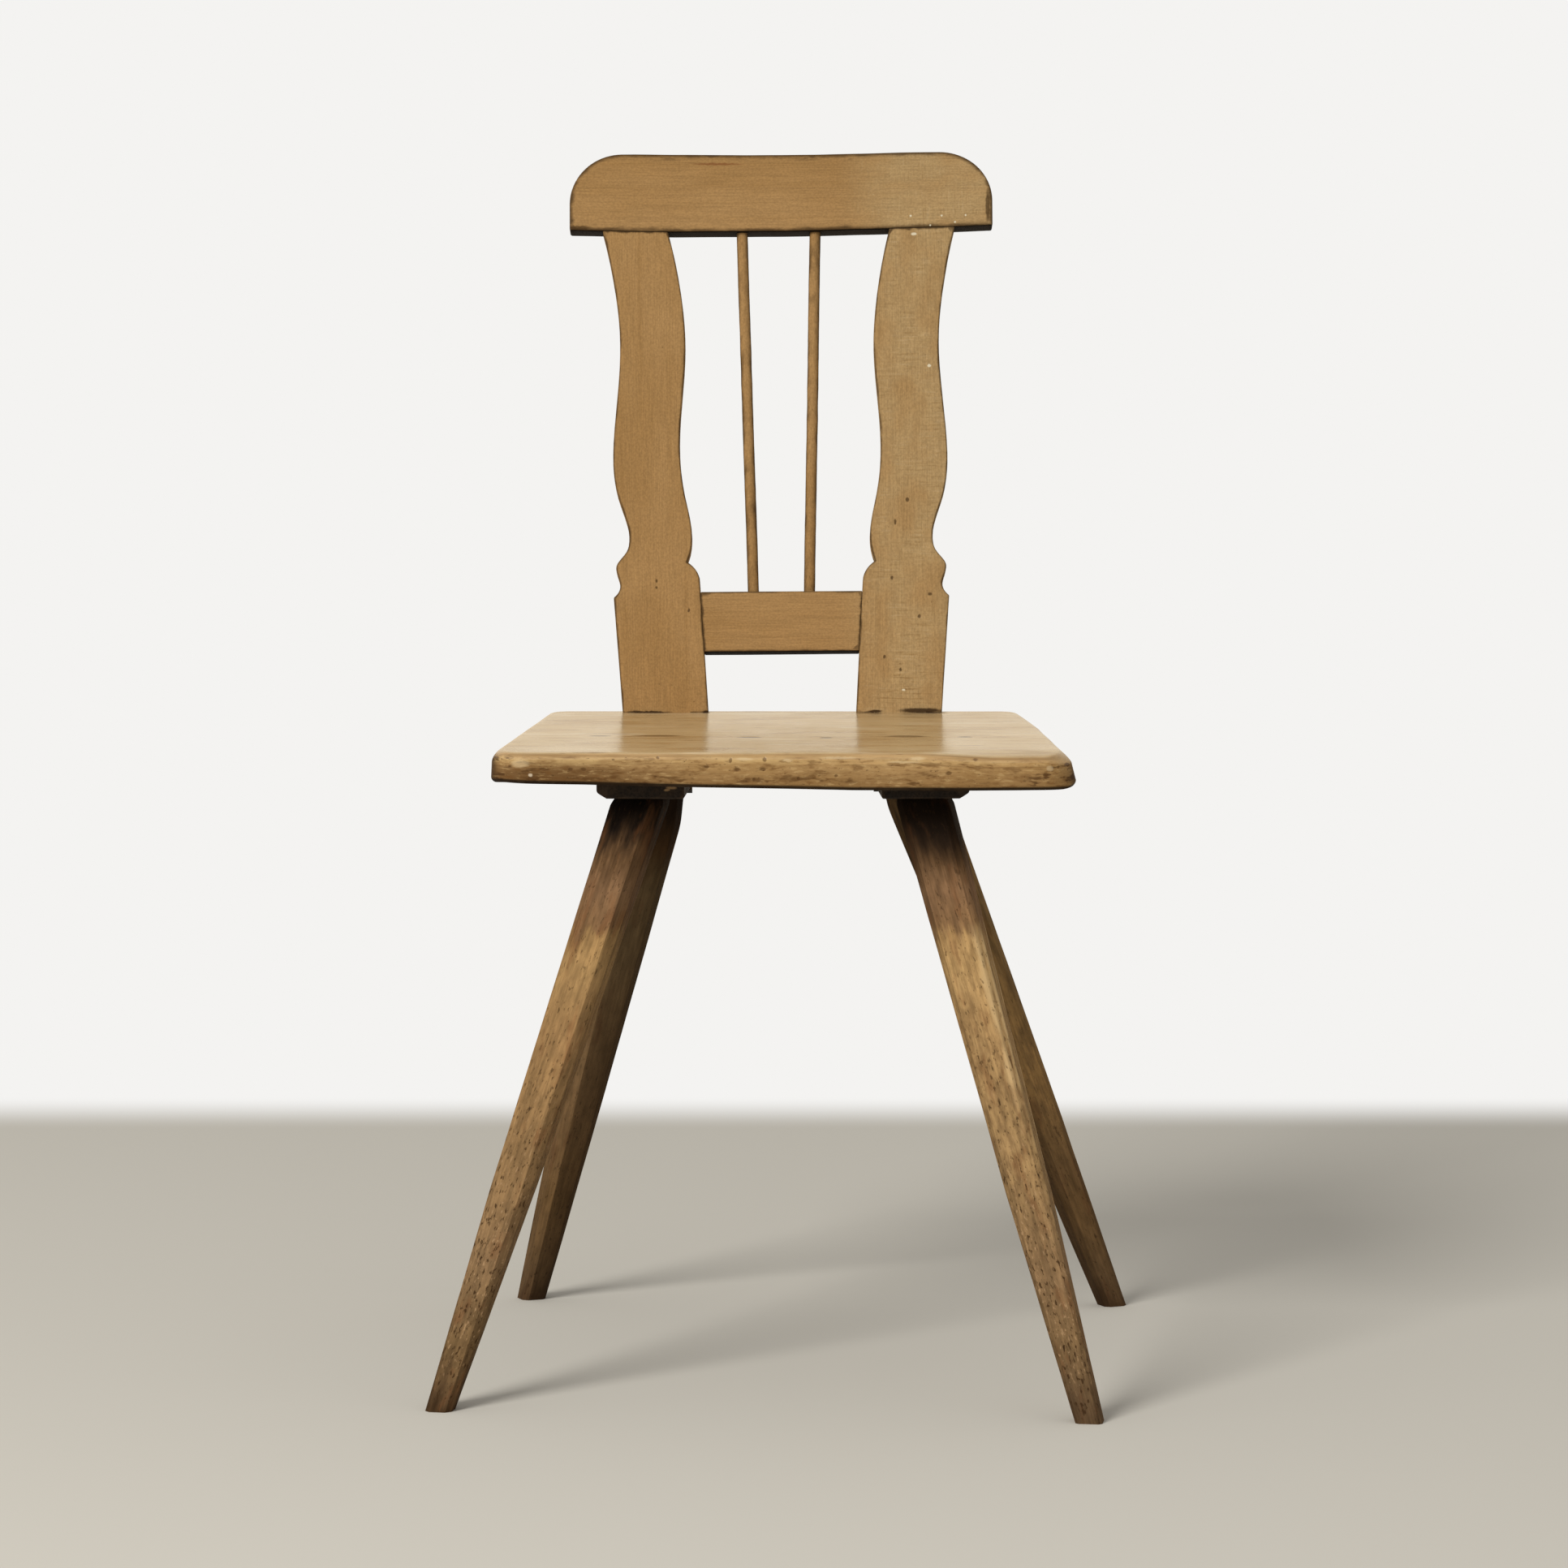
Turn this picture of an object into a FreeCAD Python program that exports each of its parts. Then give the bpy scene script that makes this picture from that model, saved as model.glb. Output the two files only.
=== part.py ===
import FreeCAD
import Part
import Sketcher
import math
import os

from FreeCAD import Placement, Rotation, Vector

# A plank chair: a plank seat on two dovetailed battens, four splayed legs and a raked back.
# Millimetres, +Z up. The front of the chair faces -Y, and left is -X, as seen from the front.
# The origin is on the floor, under the middle of the chair's overall box.

doc = FreeCAD.newDocument("plank_chair")
sizes = doc.addObject("Spreadsheet::Sheet", "sizes")

# Driving dimensions, in millimetres and degrees
dimensions = {
    # Where the chair's middle plane and the seat's front edge lie
    "middle_x": -7.1,
    "seat_front_y": -176.2,
    # Seat plank, a little to the right of the middle plane
    "seat_offset": 1.5,
    "seat_height": 455,
    "seat_thickness": 24,
    "seat_depth": 372,
    "seat_front_width": 416,
    "seat_rear_width": 357,
    "seat_front_corner_radius": 16,
    "seat_rear_corner_radius": 20,
    "seat_top_edge_radius": 8,
    "seat_lower_edge_radius": 4,
    # Battens under the seat, slid into dovetail grooves from the rear
    "batten_width": 62,
    "batten_drop": 12,
    "batten_setback": 40,
    "batten_overhang": 6,
    "left_batten_spread": 99.7,
    "right_batten_spread": 102,
    "batten_toe_in_angle": 2.4,
    "batten_bevel_width": 7,
    "batten_bevel_height": 4.5,
    "tongue_neck_width": 44,
    "tongue_flare": 2,
    "tongue_height": 8,
    "groove_relief": 0.4,
    # Legs, with the middle of each foot on the floor, and the sockets from the ends of the battens
    "front_left_foot_x": -245.1,
    "front_left_foot_y": -233.7,
    "front_right_foot_x": 206,
    "front_right_foot_y": -277.2,
    "rear_left_foot_x": -199.3,
    "rear_left_foot_y": 225.8,
    "rear_right_foot_x": 244.9,
    "rear_right_foot_y": 195.8,
    "front_left_turn_angle": -12,
    "front_right_turn_angle": -12,
    "rear_left_turn_angle": 22,
    "rear_right_turn_angle": 25,
    "front_socket_margin": 28,
    "rear_socket_margin": 98,
    "leg_foot_width": 18.8,
    "leg_swell_width": 29.5,
    "leg_swell_height": 150,
    "leg_top_width": 41,
    "leg_neck_width": 35,
    "leg_neck_drop": 14,
    "leg_tenon_diameter": 24,
    "wedge_depth": 14,
    "wedge_tip": 0.8,
    "wedge_head": 3.4,
    # Back: rake from the vertical, a slight lean to the left, and the rise to the crest along the stiles
    "back_offset": 0.6,
    "back_rake_angle": 12.5,
    "back_lean_angle": 0.45,
    "back_rise": 369.5,
    # Stiles, and the keys through their tenons
    "stile_thickness": 20,
    "stile_width": 50,
    "stile_spread": 96,
    "stile_tenon_width": 40,
    "stile_tenon_spread": 88.5,
    "stile_tenon_length": 58,
    "key_width": 12,
    "key_length": 56,
    "key_head": 13,
    "key_tip": 9,
    "key_relief": 1.5,
    # Crest rail and the stiles' upper tenons
    "crest_offset": 2,
    "crest_width": 322,
    "crest_height": 61.4,
    "crest_thickness": 22,
    "crest_corner_radius": 40,
    "crest_tenon_width": 34,
    "crest_tenon_spread": 106,
    "crest_tenon_length": 36,
    # Lower rail and its tenons
    "rail_gap": 46.8,
    "rail_height": 45.8,
    "rail_thickness": 18,
    "rail_tenon_height": 28,
    "rail_tenon_length": 24,
    # Spindles
    "spindle_diameter": 8.6,
    "spindle_head_spread": 27.8,
    "spindle_foot_spread": 21.2,
    "spindle_socket_depth": 12,
    # Joinery of the back: thin tenons and the pegs through them, driven from the rear
    "thin_tenon": 8,
    "peg_diameter": 7,
    "peg_cover": 4,
    # Fits
    "side_clearance": 0.15,
    "end_clearance": 0.5,
    "overrun": 10,
}
for row, (alias, value) in enumerate(dimensions.items(), start=1):
    sizes.set(f"A{row}", alias)
    sizes.set(f"B{row}", str(value))
    sizes.setAlias(f"B{row}", alias)
doc.recompute()

# The flat of a leg as a share of its width, between the planed corners
leg_flat_share = 0.6

# Sawn outline of a stile, from the crest down: its level as a share of the rise to the crest,
# and its swing away from the stile's own middle line as a share of the stile's width
outer_curve_shares = [(1.0, 0.758), (0.904, 0.602), (0.762, 0.5), (0.56, 0.606), (0.454, 0.548),
                      (0.358, 0.375), (0.336, 0.415), (0.305, 0.572), (0.27, 0.518), (0.241, 0.615)]
outer_foot_shares = (0.0, 0.486)
inner_curve_shares = [(1.0, -0.236), (0.904, -0.392), (0.762, -0.488), (0.56, -0.396), (0.454, -0.468),
                      (0.36, -0.575), (0.313, -0.5)]
inner_round_shares = (0.2975, -0.626)
inner_shoulder_shares = (0.279, -0.686)
inner_foot_shares = (0.0, -0.808)

match_tolerance = 0.001


def size(alias):
    return float(sizes.get(alias))


# Levels and frames that several pieces share
middle_x = size("middle_x")
seat_underside = size("seat_height") - size("seat_thickness")
batten_underside = seat_underside - size("batten_drop")
tongue_top = seat_underside + size("tongue_height")
seat_rear_y = size("seat_front_y") + size("seat_depth")
batten_length = size("seat_depth") - size("batten_setback") + size("batten_overhang")
rake = math.radians(size("back_rake_angle"))

# The back's own frame: X across, Y into the boards, Z up along them, on the seat at their front face
back_y = seat_rear_y - size("stile_thickness") / math.cos(rake)
back_x = middle_x + size("back_offset")
back_frame = Placement(Vector(back_x, back_y, size("seat_height")),
                       Rotation(Vector(1, 0, 0), -size("back_rake_angle")) * Rotation(Vector(0, 1, 0), -size("back_lean_angle")))

sides = {"left": -1, "right": 1}


# Shared ways of making things


def new_body(label):
    body = doc.addObject("PartDesign::Body", label)
    body.Label = label
    return body


def origin_plane(body, role):
    return next(plane for plane in body.Origin.OriginFeatures if plane.Role == role)


def bind_corner(sketch, kind, line, expression):
    if expression == "0":
        axis = {"DistanceX": -2, "DistanceY": -1}[kind]
        sketch.addConstraint(Sketcher.Constraint("PointOnObject", line, 1, axis))
        return
    value = sketch.evalExpression(expression)
    datum = sketch.addConstraint(Sketcher.Constraint(kind, -1, 1, line, 1, value))
    sketch.setExpression(f"Constraints[{datum}]", expression)


def sketch_outline(body, name, role, corners):
    # A closed outline of straight lines, each corner bound to the sheet
    sketch = body.newObject("Sketcher::SketchObject", name)
    sketch.AttachmentSupport = [(origin_plane(body, role), "")]
    sketch.MapMode = "FlatFace"
    points = [Vector(sketch.evalExpression(x), sketch.evalExpression(y), 0) for x, y in corners]
    ends = points[1:] + points[:1]
    for start, end in zip(points, ends):
        sketch.addGeometry(Part.LineSegment(start, end), False)
    for line in range(len(points)):
        sketch.addConstraint(Sketcher.Constraint("Coincident", line, 2, (line + 1) % len(points), 1))
    for line, (x, y) in enumerate(corners):
        bind_corner(sketch, "DistanceX", line, x)
        bind_corner(sketch, "DistanceY", line, y)
    return sketch


def pad(body, sketch, length, backwards=False):
    feature = body.newObject("PartDesign::Pad", "pad")
    feature.Profile = sketch
    feature.setExpression("Length", length)
    feature.Reversed = backwards
    return feature


def round_edges(body, base, radius, wanted):
    doc.recompute()
    edges = enumerate(base.Shape.Edges, start=1)
    feature = body.newObject("PartDesign::Fillet", "fillet")
    feature.Base = (base, [f"Edge{number}" for number, edge in edges if wanted(edge)])
    feature.setExpression("Radius", radius)
    return feature


def runs_along(edge, axis):
    span = edge.Vertexes[-1].Point - edge.Vertexes[0].Point
    return span.Length > match_tolerance and abs(abs(span * axis) - span.Length) < match_tolerance


def lies_at(edge, height):
    return all(abs(corner.Point.z - height) < match_tolerance for corner in edge.Vertexes)


def box(label, length, width, height, placement):
    piece = doc.addObject("Part::Box", label)
    piece.setExpression("Length", length)
    piece.setExpression("Width", width)
    piece.setExpression("Height", height)
    piece.Placement = placement
    return piece


def rod(label, radius, length, start, direction):
    # A cylinder from a start point along a direction
    piece = doc.addObject("Part::Cylinder", label)
    piece.setExpression("Radius", radius)
    piece.Height = length
    piece.Placement = Placement(start, Rotation(Vector(0, 0, 1), direction))
    return piece


def fuse(label, pieces):
    whole = doc.addObject("Part::MultiFuse", label)
    whole.Shapes = pieces
    return whole


def cut(label, base, tools):
    result = doc.addObject("Part::Cut", label)
    result.Base = base
    result.Tool = tools[0] if len(tools) == 1 else fuse(f"{label}_cutters", tools)
    return result


def common(label, base, tool):
    result = doc.addObject("Part::Common", label)
    result.Base = base
    result.Tool = tool
    return result


def group(label, pieces):
    result = doc.addObject("Part::Compound", label)
    result.Links = pieces
    return result


def in_back(x, y, z):
    # A placement in the back's frame
    return back_frame * Placement(Vector(x, y, z), Rotation())


def back_direction(start, end):
    return back_frame.Rotation.multVec(end - start)


# Seat


def make_seat_blank():
    body = new_body("seat_blank")
    outline = sketch_outline(body, "seat_outline", "XY_Plane", [
        ("-sizes.seat_front_width / 2", "0"),
        ("sizes.seat_front_width / 2", "0"),
        ("sizes.seat_rear_width / 2", "sizes.seat_depth"),
        ("-sizes.seat_rear_width / 2", "sizes.seat_depth"),
    ])
    plank = pad(body, outline, "sizes.seat_thickness")
    up = Vector(0, 0, 1)
    half_way = size("seat_depth") / 2
    fronts = round_edges(body, plank, "sizes.seat_front_corner_radius",
                         lambda edge: runs_along(edge, up) and edge.CenterOfMass.y < half_way)
    rears = round_edges(body, fronts, "sizes.seat_rear_corner_radius",
                        lambda edge: runs_along(edge, up) and edge.CenterOfMass.y > half_way)
    tops = round_edges(body, rears, "sizes.seat_top_edge_radius",
                       lambda edge: lies_at(edge, size("seat_thickness")))
    round_edges(body, tops, "sizes.seat_lower_edge_radius", lambda edge: lies_at(edge, 0))
    middle = middle_x + size("seat_offset")
    body.Placement = Placement(Vector(middle, size("seat_front_y"), seat_underside), Rotation())
    return body


# Battens


def batten_frame(name):
    side = sides[name]
    front = Vector(middle_x + side * size(f"{name}_batten_spread"),
                   size("seat_front_y") + size("batten_setback"), seat_underside)
    return Placement(front, Rotation(Vector(0, 0, 1), side * size("batten_toe_in_angle")))


def make_batten_blank(name, side):
    # The outer lower edge is bevelled, and the dovetail tongue stands up into the seat
    body = new_body(f"{name}_batten_blank")
    half, neck = "sizes.batten_width / 2", "sizes.tongue_neck_width / 2"
    flared = f"({neck} + sizes.tongue_flare)"
    outline = sketch_outline(body, "batten_section", "XZ_Plane", [
        (f"{-side} * {half}", "-sizes.batten_drop"),
        (f"{side} * ({half} - sizes.batten_bevel_width)", "-sizes.batten_drop"),
        (f"{side} * {half}", "sizes.batten_bevel_height - sizes.batten_drop"),
        (f"{side} * {half}", "0"),
        (f"{side} * {neck}", "0"),
        (f"{side} * {flared}", "sizes.tongue_height"),
        (f"{-side} * {flared}", "sizes.tongue_height"),
        (f"{-side} * {neck}", "0"),
        (f"{-side} * {half}", "0"),
    ])
    pad(body, outline, "sizes.seat_depth - sizes.batten_setback + sizes.batten_overhang", backwards=True)
    body.Placement = batten_frame(name)
    return body


def make_groove_cutter(name):
    # The tongue's own section, a little deeper, and long enough to leave the seat's rear edge
    body = new_body(f"{name}_groove_cutter")
    neck = "sizes.tongue_neck_width / 2"
    depth = "(sizes.tongue_height + sizes.groove_relief)"
    flared = f"({neck} + sizes.tongue_flare * {depth} / sizes.tongue_height)"
    outline = sketch_outline(body, "groove_section", "XZ_Plane", [
        (f"-{neck}", "-sizes.overrun"),
        (neck, "-sizes.overrun"),
        (neck, "0"),
        (flared, depth),
        (f"-{flared}", depth),
        (f"-{neck}", "0"),
    ])
    length = "sizes.seat_depth - sizes.batten_setback + sizes.batten_overhang + sizes.overrun"
    pad(body, outline, f"{length} + sizes.end_clearance", backwards=True)
    body.Placement = batten_frame(name) * Placement(Vector(0, -size("end_clearance"), 0), Rotation())
    return body


# Legs


def planed_square(width):
    # A square with its corners planed off, anticlockwise
    full, short = f"{width} / 2", f"{width} * {leg_flat_share} / 2"
    return [(full, short), (short, full), (f"-{short}", full), (f"-{full}", short),
            (f"-{full}", f"-{short}"), (f"-{short}", f"-{full}"), (short, f"-{full}"), (full, f"-{short}")]


def leg_line(end, name):
    # The middle of the foot on the floor and the middle of the leg's top at the batten
    foot = Vector(size(f"{end}_{name}_foot_x"), size(f"{end}_{name}_foot_y"), 0)
    reaches = {"front": size("front_socket_margin"), "rear": batten_length - size("rear_socket_margin")}
    top = batten_frame(name).multVec(Vector(0, reaches[end], -size("batten_drop")))
    return foot, top


def make_leg_blank(name, foot, top):
    body = new_body(f"{name}_leg_blank")
    splay = top - foot
    sections = [
        (0, "sizes.leg_foot_width"),
        (size("leg_swell_height"), "sizes.leg_swell_width"),
        (splay.z - size("leg_neck_drop"), "sizes.leg_top_width"),
        (splay.z, "sizes.leg_neck_width"),
    ]
    sketches = []
    for height, width in sections:
        sketch = sketch_outline(body, "leg_section", "XY_Plane", planed_square(width))
        offset = splay * (height / splay.z)
        sketch.AttachmentOffset = Placement(offset, Rotation(Vector(0, 0, 1), size(f"{name}_turn_angle")))
        sketches.append(sketch)
    loft = body.newObject("PartDesign::AdditiveLoft", "taper")
    loft.Profile = sketches[0]
    loft.Sections = sketches[1:]
    loft.Ruled = True
    body.Placement = Placement(foot, Rotation())
    return body


def make_leg_tenon(name, top, axis):
    # A round tenon along the leg, from inside the leg's neck up to the top of the batten's tongue
    start = top - axis * (size("leg_neck_drop") / axis.z)
    length = (tongue_top - start.z + size("overrun")) / axis.z
    round_bar = rod(f"{name}_tenon_bar", "sizes.leg_tenon_diameter / 2", length, start, axis)
    half = size("leg_top_width")
    slab = box(f"{name}_tenon_slab", "2 * sizes.leg_top_width", "2 * sizes.leg_top_width",
               "sizes.leg_neck_drop + sizes.batten_drop + sizes.tongue_height",
               Placement(Vector(top.x - half, top.y - half, start.z), Rotation()))
    return common(f"{name}_tenon", round_bar, slab)


def make_wedge_blank(name, top, axis):
    # A wedge across the batten's grain, its head level with the top of the tenon
    head = top + axis * ((tongue_top - top.z) / axis.z)
    wedge = doc.addObject("Part::Wedge", f"{name}_wedge_blank")
    taper = "(sizes.wedge_head - sizes.wedge_tip) / sizes.wedge_depth"
    over = f"(sizes.wedge_head / 2 + sizes.overrun / 2 * {taper})"
    bounds = {
        "Ymin": "-sizes.wedge_depth", "Ymax": "sizes.overrun",
        "Xmin": "-sizes.wedge_tip / 2", "Xmax": "sizes.wedge_tip / 2",
        "X2min": f"-{over}", "X2max": over,
        "Zmin": "-sizes.leg_tenon_diameter", "Zmax": "sizes.leg_tenon_diameter",
        "Z2min": "-sizes.leg_tenon_diameter", "Z2max": "sizes.leg_tenon_diameter",
    }
    for bound, expression in bounds.items():
        wedge.setExpression(bound, expression)
    across = Vector(0, 1, 0).cross(axis)
    wedge.Placement = Placement(head, Rotation(axis.cross(across), axis, across, "YZX"))
    return wedge


def make_socket(name, top, axis):
    start = top - axis * size("overrun")
    length = (tongue_top - top.z) / axis.z + size("overrun") + size("overrun")
    return rod(f"{name}_socket", "sizes.leg_tenon_diameter / 2 + sizes.side_clearance", length, start, axis)


# Back


def stile_point(side, shares):
    level, swing = shares
    x = size("stile_spread") + swing * size("stile_width")
    return Vector(side * x, 0, level * size("back_rise"))


def on_side(shoulder, foot, level):
    # A point of the straight side between a stile's shoulder and its foot, at a given level
    return foot + (shoulder - foot) * ((level - foot.z) / (shoulder.z - foot.z))


def spline(points):
    curve = Part.BSplineCurve()
    curve.interpolate(points)
    return curve.toShape()


def stile_inner_side(side):
    return stile_point(side, inner_shoulder_shares), stile_point(side, inner_foot_shares)


def make_stile_outline(name, side):
    outer_curve = [stile_point(side, shares) for shares in outer_curve_shares]
    inner_curve = [stile_point(side, shares) for shares in inner_curve_shares]
    outer_shoulder = outer_curve[-1]
    inner_shoulder, inner_foot = stile_inner_side(side)
    inner_round = stile_point(side, inner_round_shares)
    low = -size("overrun")
    outer_low = on_side(outer_shoulder, stile_point(side, outer_foot_shares), low)
    inner_low = on_side(inner_shoulder, inner_foot, low)
    edges = [
        spline(outer_curve),
        Part.LineSegment(outer_shoulder, outer_low).toShape(),
        Part.LineSegment(outer_low, inner_low).toShape(),
        Part.LineSegment(inner_low, inner_shoulder).toShape(),
        Part.Arc(inner_shoulder, inner_round, inner_curve[-1]).toShape(),
        spline(inner_curve),
        Part.LineSegment(inner_curve[0], outer_curve[0]).toShape(),
    ]
    outline = doc.addObject("Part::Feature", f"{name}_stile_outline")
    outline.Shape = Part.Face(Part.Wire(Part.__sortEdges__(edges)))
    return outline


def make_stile_tenon(label, side, clearance, to_rear):
    # The lower tenon, as thick as the stile, or its mortise with a clearance round it
    width = f"(sizes.stile_tenon_width + 2 * {clearance})"
    thickness = f"sizes.stile_thickness + 2 * {clearance} + {to_rear}"
    rise = "sizes.stile_tenon_length + sizes.overrun"
    margin = float(sizes.evalExpression(clearance))
    x = side * size("stile_tenon_spread") - size("stile_tenon_width") / 2 - margin
    return box(label, width, thickness, rise, in_back(x, -margin, -size("stile_tenon_length")))


def make_crest_tenon(label, side, clearance, end_room):
    width = f"sizes.crest_tenon_width + 2 * {clearance}"
    thickness = f"sizes.thin_tenon + 2 * {clearance}"
    rise = f"sizes.crest_tenon_length + sizes.overrun + {end_room}"
    margin = float(sizes.evalExpression(clearance))
    x = side * size("crest_tenon_spread") - size("crest_tenon_width") / 2 - margin
    y = (size("stile_thickness") - size("thin_tenon")) / 2 - margin
    return box(label, width, thickness, rise, in_back(x, y, size("back_rise") - size("overrun")))


def rail_end(side, level):
    return on_side(*stile_inner_side(side), level)


def make_rail_tenon(label, side, clearance, end_room):
    # From inside the lower rail out into the stile
    length = f"2 * sizes.rail_tenon_length + {end_room}"
    thickness = f"sizes.thin_tenon + 2 * {clearance}"
    rise = f"sizes.rail_tenon_height + 2 * {clearance}"
    margin = float(sizes.evalExpression(clearance))
    reach = float(sizes.evalExpression(length))
    rail_middle = size("rail_gap") + size("rail_height") / 2
    inside = rail_end(side, rail_middle).x - side * size("rail_tenon_length")
    x = min(inside, inside + side * reach)
    y = (size("rail_thickness") - size("thin_tenon")) / 2 - margin
    z = rail_middle - size("rail_tenon_height") / 2 - margin
    return box(label, length, thickness, rise, in_back(x, y, z))


def make_peg(label, x, z, thickness, clearance):
    # A peg driven from the rear face, which stops short of the front face
    depth = thickness - size("peg_cover")
    start = back_frame.multVec(Vector(x, thickness, z))
    forward = back_direction(Vector(0, 1, 0), Vector(0, 0, 0))
    return rod(label, f"sizes.peg_diameter / 2 + {clearance}", depth, start, forward)


def make_crest_peg(label, side, clearance):
    middle = size("back_rise") + size("crest_tenon_length") / 2
    return make_peg(label, side * size("crest_tenon_spread"), middle, size("crest_thickness"), clearance)


def make_rail_peg(label, side, clearance):
    middle = size("rail_gap") + size("rail_height") / 2
    x = rail_end(side, middle).x + side * size("rail_tenon_length") / 2
    return make_peg(label, x, middle, size("stile_thickness"), clearance)


def make_key(label, side, width, rise):
    # A key from front to rear under the batten, thicker at its rear end, or its slot
    body = new_body(label)
    front, rear = "-sizes.key_length / 2", "sizes.key_length / 2"
    outline = sketch_outline(body, "key_side", "YZ_Plane", [
        (front, "-sizes.key_tip"),
        (rear, "-sizes.key_head"),
        (rear, rise),
        (front, rise),
    ])
    feature = pad(body, outline, width)
    feature.Midplane = True
    height = batten_underside - (size("key_tip") + size("key_head")) / 4
    tenon_middle = Vector(0, size("stile_thickness") / 2, 0)
    drop = (height - back_frame.multVec(tenon_middle).z) / math.cos(rake)
    middle = back_frame.multVec(tenon_middle + Vector(0, 0, drop))
    x = back_x + side * size("stile_tenon_spread")
    body.Placement = Placement(Vector(x, middle.y, batten_underside), Rotation())
    return body


def make_stile(name, side, key_slot):
    board = doc.addObject("Part::Extrusion", f"{name}_stile_board")
    board.Base = make_stile_outline(name, side)
    board.DirMode = "Custom"
    board.Dir = Vector(0, 1, 0)
    board.setExpression("LengthFwd", "sizes.stile_thickness")
    board.Solid = True
    board.Placement = back_frame
    reach = size("stile_spread") + size("stile_width")
    under_seat = box(f"{name}_stile_trim", "2 * (sizes.stile_spread + sizes.stile_width)", "sizes.seat_depth",
                     "sizes.seat_height",
                     Placement(Vector(middle_x - reach, seat_rear_y - size("seat_depth") / 2, 0), Rotation()))
    shouldered = cut(f"{name}_stile_shouldered", board, [under_seat])
    lower = make_stile_tenon(f"{name}_stile_lower_tenon", side, "0", "0")
    upper = make_crest_tenon(f"{name}_stile_upper_tenon", side, "0", "0")
    whole = fuse(f"{name}_stile_whole", [shouldered, lower, upper])
    return cut(f"{name}_stile", whole, [
        key_slot,
        make_rail_tenon(f"{name}_rail_mortise", side, "sizes.side_clearance", "sizes.end_clearance"),
        make_rail_peg(f"{name}_stile_peg_hole", side, "sizes.side_clearance"),
        make_crest_peg(f"{name}_tenon_peg_hole", side, "sizes.side_clearance"),
    ])


def spindle_line(side):
    foot = Vector(side * size("spindle_foot_spread"), size("rail_thickness") / 2,
                  size("rail_gap") + size("rail_height"))
    head = Vector(side * size("spindle_head_spread"), size("rail_thickness") / 2, size("back_rise"))
    return foot, head


def make_spindle(label, side, clearance, end_room):
    # A straight rod sunk into both rails, or the bore for it
    foot, head = spindle_line(side)
    sink = size("spindle_socket_depth") + end_room
    along = (head - foot).normalize()
    start = back_frame.multVec(foot - along * sink)
    length = (head - foot).Length + sink + sink
    return rod(label, f"sizes.spindle_diameter / 2 + {clearance}", length, start, back_direction(foot, head))


def make_crest_blank():
    body = new_body("crest_blank")
    half, top = "sizes.crest_width / 2", "sizes.back_rise + sizes.crest_height"
    left, right = f"sizes.crest_offset - {half}", f"sizes.crest_offset + {half}"
    outline = sketch_outline(body, "crest_outline", "XZ_Plane", [
        (left, "sizes.back_rise"), (right, "sizes.back_rise"), (right, top), (left, top),
    ])
    board = pad(body, outline, "sizes.crest_thickness", backwards=True)
    top_level = size("back_rise") + size("crest_height")
    round_edges(body, board, "sizes.crest_corner_radius",
                lambda edge: runs_along(edge, Vector(0, 1, 0)) and lies_at(edge, top_level))
    body.Placement = back_frame
    return body


def make_rail_blank():
    body = new_body("rail_blank")
    levels = {"sizes.rail_gap": size("rail_gap"),
              "sizes.rail_gap + sizes.rail_height": size("rail_gap") + size("rail_height")}
    corners = []
    for expression, level in levels.items():
        swing = (rail_end(1, level).x - size("stile_spread")) / size("stile_width")
        end = f"(sizes.stile_spread + sizes.stile_width * ({swing}))"
        pair = [(f"-{end}", expression), (end, expression)]
        corners += pair if not corners else reversed(pair)
    outline = sketch_outline(body, "rail_outline", "XZ_Plane", corners)
    pad(body, outline, "sizes.rail_thickness", backwards=True)
    body.Placement = back_frame
    return body


# The pieces, in the order they are put together

pieces = {}

# Legs, with their wedges, and the sockets that the battens take from them
wedges = []
sockets = {name: [] for name in sides}
for name in sides:
    for end in ("front", "rear"):
        leg = f"{end}_{name}"
        foot, top = leg_line(end, name)
        axis = (top - foot).normalize()
        tenon = make_leg_tenon(leg, top, axis)
        wedge_blank = make_wedge_blank(leg, top, axis)
        whole = fuse(f"{leg}_leg_whole", [make_leg_blank(leg, foot, top), tenon])
        pieces[f"{leg}_leg"] = cut(f"{leg}_leg", whole, [wedge_blank])
        wedges.append(common(f"{leg}_wedge", tenon, wedge_blank))
        sockets[name].append(make_socket(leg, top, axis))
pieces["leg_wedges"] = group("leg_wedges", wedges)

# Battens, bored for the legs and mortised for the stiles
for name, side in sides.items():
    mortise = make_stile_tenon(f"{name}_batten_mortise", side, "sizes.side_clearance", "0")
    pieces[f"{name}_batten"] = cut(f"{name}_batten", make_batten_blank(name, side), sockets[name] + [mortise])

# Seat, grooved for the battens and notched at its rear edge for the stiles
seat_cutters = []
for name, side in sides.items():
    seat_cutters.append(make_groove_cutter(name))
    seat_cutters.append(make_stile_tenon(f"{name}_seat_notch", side, "sizes.side_clearance", "sizes.overrun"))
pieces["seat_plank"] = cut("seat_plank", make_seat_blank(), seat_cutters)

# Stiles and their keys
for name, side in sides.items():
    slot = make_key(f"{name}_key_slot", side, "sizes.key_width + 2 * sizes.side_clearance", "sizes.key_relief")
    pieces[f"{name}_stile"] = make_stile(name, side, slot)
    pieces[f"{name}_stile_key"] = make_key(f"{name}_stile_key", side, "sizes.key_width", "0")

# Lower rail
rail = fuse("rail_whole", [make_rail_blank()]
            + [make_rail_tenon(f"{name}_rail_tenon", side, "0", "0") for name, side in sides.items()])
rail_cutters = []
for name, side in sides.items():
    rail_cutters.append(make_spindle(f"{name}_rail_bore", side, "sizes.side_clearance", size("end_clearance")))
    rail_cutters.append(make_rail_peg(f"{name}_rail_peg_hole", side, "sizes.side_clearance"))
pieces["lower_rail"] = cut("lower_rail", rail, rail_cutters)

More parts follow.
